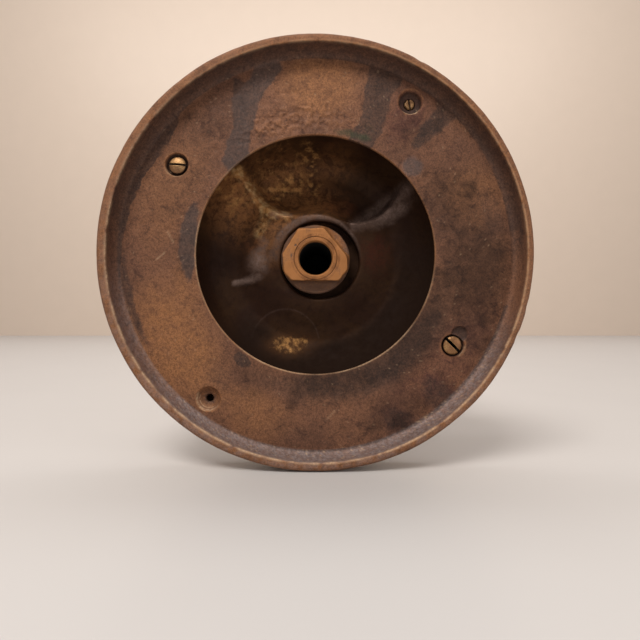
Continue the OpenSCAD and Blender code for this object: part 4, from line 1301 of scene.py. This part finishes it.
def make_lugs():
    """Three pins whose roots flare out over the swivel's round wall."""
    profile = [(0, 29.65), (4.44, 29.65), (4.44, 31.4), (6.3, 31.78), (6.25, 31.95), (5.6, 32.15),
               (5.05, 32.55),
               (4.75, 33.15), (4.6, 34.0), (4.52, 35.0), (LUG_R, 37.2)]
    profile += [(2.9 + 1.6 * cosd(a), 39.4 + 1.6 * sind(a)) for a in range(0, 91, 18)]
    profile += [(1.5, 41.0), (1.2, 40.9), (0.9, 40.55), (0, 40.45)]
    fine = [(max(r, AXIS_R), s) for r, s in resampled(profile, 0.6, False)]
    lugs = []
    for k, deg in enumerate(LUG_DEG):
        lug = turned("lug", fine, 72, (0, 0), False, lambda u, v, s: np.stack([u, v, s], -1))
        q = coords(lug.data) / MM
        sag = SWIVEL_WALL_R - np.sqrt(SWIVEL_WALL_R ** 2 - q[:, 0] ** 2)
        q[:, 2] -= smooth(34.0, 31.8, q[:, 2]) * smooth(29.8, 31.4, q[:, 2]) * sag
        rough = 0.07 * noise(q + 50.0 * k, 2.4, 451, 2) * smooth(32.4, 33.4, q[:, 2])
        u, v, s = (q + normals(lug.data) * rough[:, None]).T
        set_coords(lug.data, radial(deg, LUG_S)(u, v, s) * MM)
        lugs.append(lug)
    piece = joined("flared_lugs", lugs)
    patina_marks(piece, 457)
    return piece


def stud_threads(lo, hi, depth=0.34, pitch=1.0):
    """Rows for a threaded stud, from lo to hi."""
    root, rows = STUD_R - depth, []
    for s in np.arange(lo, hi - pitch, pitch):
        rows += [(root, s), (root, s + 0.12 * pitch), (STUD_R, s + 0.45 * pitch), (STUD_R, s + 0.58 * pitch)]
    return rows


def plug_body():
    lower = [(0, -36.5), (3.4, -36.5), (3.9, -36.0)] + stud_threads(-35.8, -27.4)
    lower += [(STUD_R, -26.6), (STUD_R, -24.6)]
    taper = [(10.65, -24.6), (11.0, -24.3)] + [(11.95 + 0.04 * h, h) for h in np.arange(-24, 25.1, 3.5)]
    upper = [(12.9, 25.1), (12.9, COLLAR_S), (16.9, COLLAR_S), (17.5, COLLAR_S + 0.5),
             (17.5, COLLAR_TOP_S - 0.8),
             (16.8, COLLAR_TOP_S), (9.0, COLLAR_TOP_S), (0, COLLAR_TOP_S)]
    profile = resampled(lower + taper + upper, 3.0, False)
    profile = [profile[0]] + [q for q in profile if q[0] > 0.01] + [profile[-1]]
    return spun("turned_cock_plug", profile, 128, where=upright)


def crosswise(u, v, s):
    """Row-frame millimetres about the level line through the middle of the cock."""
    return np.stack([s, u - COCK_S, v], -1)


def make_plug():
    plug = plug_body()
    flat, edge = 5.5, 5.0
    square = [(flat, -edge), (flat, edge), (edge, flat), (-edge, flat), (-flat, edge), (-flat, -edge),
              (-edge, -flat), (edge, -flat)]
    stud = [(0, 39.0), (STUD_R, 39.0), (STUD_R, 41.4)] + stud_threads(41.5, 48.6)
    stud += [(3.9, 48.7), (3.4, 49.2), (0, 49.2)]
    cut(plug, [prism("shank", square, COLLAR_TOP_S - 2.0, 40.6, upright),
               spun("stud", stud, 64, where=upright)],
        "UNION")
    stop = math.degrees(math.asin(0.1)) + 1
    arc = np.linspace(135 - stop, 225 + stop, 25)
    notch = [(23 * cosd(a), 23 * sind(a)) for a in arc]
    notch += [(13.1 * cosd(a), 13.1 * sind(a)) for a in arc[::-1]]
    mark = [(6.5, -0.35), (19, -0.35), (19, 0.35), (6.5, 0.35)]
    cut(plug, [prism("notch", notch, COLLAR_S - 1, COLLAR_TOP_S + 3, upright),
               pin_tool("port", TUBE_BORE_R, -30, 30, 96, where=crosswise),
               prism("mark", mark, COLLAR_TOP_S - 0.4, 32, upright)])
    g = brass_marks(plug, 471)
    # Painted shade: the port's walls turned near black
    axis_distance = np.hypot(g.u, g.s - COCK_S)
    g.paint(soot=smooth(11.0, 9.0, g.r) * smooth(16, 13, axis_distance))
    return plug


def make_lever():
    length, low, high, hole = 61, 35.0, 41.0, 5.55
    knob = [(7.1 * cosd(a), 38 + 3.9 * sind(a)) for a in range(-78, 79, 12)]
    parts = [pin_tool("eye", 12, 30.6, high, 96, where=upright),
             prism("arm", [(0, -6.0), (length, -4.0), (length, 4.0), (0, 6.0)], low, high, upright),
             spun("knob", [(0, 34.1)] + knob + [(0, 41.9)], 64, (length, 0), upright)]
    lever = cast_solid("cast_cock_lever", parts, 0.5, 7)
    roughened(lever, (0.12, 7.0, 481), (0.05, 1.7, 483))
    cut(lever, [prism("square", [(hole, -hole), (hole, hole), (-hole, hole), (-hole, -hole)], 28, 44,
                      upright),
                block("trim_eye", (-14, -109, 28), (14, -81, 30.6)),
                block("trim_flat", (-14, -109, high), (14, -81, 44))])
    patina_marks(lever, 487)
    return lever


def hexagon_nut(name, flats, lo, hi, seed):
    """A hexagon nut on the cock's axis with turned corners at both ends."""
    n, hole = 180, STUD_R
    sides = flats / 2 / cosd((np.arange(n) * 2.0 + 30) % 60 - 30)
    sides = np.minimum(sides, flats / 2 / cosd(30) - 0.22)
    crown = [(0.0, flats / 2 - 0.35)]
    crown += [(d, flats / 2 - 0.15 + d * 1.75) for d in (0.12, 0.3, 0.55, 0.85, 1.2, 1.7)]
    rows = Rows(n)
    rows.add_all([(np.minimum(sides, limit), lo + d) for d, limit in crown])
    rows.add_all([(sides, lo + (hi - lo) * f) for f in (0.35, 0.5, 0.65)])
    rows.add_all([(np.minimum(sides, limit), hi - d) for d, limit in reversed(crown)])
    rows.add_all([(hole + 0.5, hi), (hole, hi - 0.5), (hole, (lo + hi) / 2), (hole, lo + 0.5),
                  (hole + 0.5, lo)])
    nut = lathe(name, *rows.arrays(), where=upright)
    g = Surface(nut)
    lift = 0.05 * g.noise(4.0, seed, 2) - 0.10 * g.scaled(0.55, 0.9, 2.2, seed + 1)
    lift = lift * (np.hypot(g.u, g.s - COCK_S) > hole + 1)
    lift = lift * smooth(lo, lo + 0.4, g.v) * smooth(hi, hi - 0.4, g.v)
    set_coords(nut.data, (g.p + normals(nut.data) * lift[:, None]) * MM)
    brass_marks(nut, seed + 5)
    return nut


def make_plug_washer():
    in_r, out_r, low, high = 4.08, 13.9, -27.8, -25.35
    section = rounded([(in_r, low), (out_r, low), (out_r, high), (in_r, high)], 0.45, 3)
    washer = turned("turned_plug_washer", resampled(section, 1.6), 96, where=upright)
    brass_marks(washer, 501)
    return washer


CAST = patina("neck_bronze_cast", srgb(112, 80, 58), srgb(130, 94, 64), srgb(76, 55, 44), 0.30, (0.46, 0.68),
              0.85, 1.0, gold=srgb(158, 114, 70), dark=srgb(58, 44, 38))
TURNED = patina("swivel_bronze_turned", srgb(122, 86, 60), srgb(142, 102, 68), srgb(82, 58, 45), 0.40,
                (0.38, 0.60), 0.7, 0.6, gold=srgb(176, 130, 78), dark=srgb(58, 44, 38),
                stretch=(1.0, 3.0, 1.0))
finish_piece(make_neck(), CAST, "nozzle", "neck_body", 40)
finish_piece(make_swivel(), TURNED, "swivel", "swivel_coupling", 32)
finish_piece(make_lugs(), TURNED, "swivel", "spanner_lugs", 45)
finish_piece(make_plug(), BRASS, "shutoff", "cock_plug", 32)
finish_piece(make_lever(), TURNED, "shutoff", "cock_lever", 45)
finish_piece(hexagon_nut("bevelled_lever_nut", 13.0, 41.0, 48.0, 491), BRASS, "shutoff",
             "lever_nut", 32)
finish_piece(hexagon_nut("bevelled_plug_nut", 17.0, -34.8, -27.8, 495), BRASS, "shutoff",
             "plug_nut", 32)
finish_piece(make_plug_washer(), BRASS, "shutoff", "plug_washer", 32)


# ---------------------------------------------------------------- small pieces, as in the CAD model
STEEL = worn_metal("steel_worn", srgb(146, 140, 132), srgb(104, 97, 90), srgb(66, 46, 34), (0.34, 0.56), 0.7)
LEATHER = soft_material("leather_oiled", srgb(84, 56, 40), srgb(104, 72, 50), srgb(48, 32, 26))
RUBBER = soft_material("rubber_aged", srgb(38, 36, 35), srgb(54, 50, 48), srgb(24, 23, 23))
SMALL = dict.fromkeys(("locating_pin", "tube_set_screw", "stop_pin", "bearing_balls"), STEEL)
SMALL.update(dict.fromkeys(("ring_gasket", "hub_washer", "neck_gasket", "thrust_washer"), LEATHER))
SMALL.update(ball_plug=BRASS, hose_washer=RUBBER)
for node_name, material in SMALL.items():
    node = NODES[node_name]
    for slot in node.material_slots:
        slot.link = "OBJECT"
        slot.material = material
    if node_name != "bearing_balls":
        edge = node.modifiers.new("edge", "BEVEL")
        edge.width, edge.segments = 0.12 * MM, 2
        edge.limit_method, edge.angle_limit = "ANGLE", math.radians(40)


# ---------------------------------------------------------------- stage, light and camera
def panel(name, corners, colour):
    mesh = bpy.data.meshes.new(name)
    mesh.from_pydata(corners, [], [tuple(range(len(corners)))])
    obj = bpy.data.objects.new(name, mesh)
    bpy.context.scene.collection.objects.link(obj)
    s = Shader(name + "_paint")
    mottle = s.noise(60.0, 3.0, 0.5)
    shade_of = tuple(c * 0.96 for c in colour[:3]) + (1.0,)
    obj.data.materials.append(s.finish(s.mix(mottle, colour, shade_of), 0.42, 0.0, []))


FLOOR_Z, SIDE, WALL_Y = -0.0893, 3, 1.5
panel("floor", [(-SIDE, -WALL_Y, FLOOR_Z), (SIDE, -WALL_Y, FLOOR_Z), (SIDE, WALL_Y, FLOOR_Z),
                (-SIDE, WALL_Y, FLOOR_Z)], srgb(206, 203, 202))
panel("wall", [(-SIDE, WALL_Y, -0.5), (SIDE, WALL_Y, -0.5), (SIDE, WALL_Y, 2.5), (-SIDE, WALL_Y, 2.5)],
      srgb(226, 208, 192))


def area_light(name, place, target, size, power, colour):
    data = bpy.data.lights.new(name, "AREA")
    data.shape, data.size, data.size_y = "RECTANGLE", size[0], size[1]
    data.energy, data.color = power, colour
    obj = bpy.data.objects.new(name, data)
    obj.location = place
    obj.rotation_euler = (Vector(target) - Vector(place)).to_track_quat("-Z", "Y").to_euler()
    bpy.context.scene.collection.objects.link(obj)


area_light("key", (-0.30, -0.85, 0.95), (0, -0.17, 0), (0.55, 0.4), 12.0, (1.0, 0.95, 0.89))
area_light("fill", (0.9, -0.9, 0.30), (0, -0.17, 0), (0.5, 0.7), 2.0, (1.0, 0.96, 0.92))
area_light("backdrop", (0.0, 0.30, 1.5), (0, 1.5, 0.1), (2.8, 0.7), 21.0, (1.0, 0.96, 0.92))

world = bpy.data.worlds.new("studio")
bpy.context.scene.world = world
world.use_nodes = True
background = world.node_tree.nodes["Background"]
background.inputs["Color"].default_value = (1.0, 0.95, 0.90, 1.0)
background.inputs["Strength"].default_value = 0.36

camera = bpy.data.cameras.new("camera")
camera.lens, camera.sensor_width = 26.5, 36.0
camera.clip_start, camera.clip_end = 0.01, 20.0
camera.dof.use_dof = False
camera_object = bpy.data.objects.new("camera", camera)
camera_object.location = (0.0020, -0.362, -0.0275)
camera_object.rotation_euler = (math.radians(90), 0, 0)
bpy.context.scene.collection.objects.link(camera_object)
bpy.context.scene.camera = camera_object
bpy.context.scene.view_settings.view_transform = "Standard"
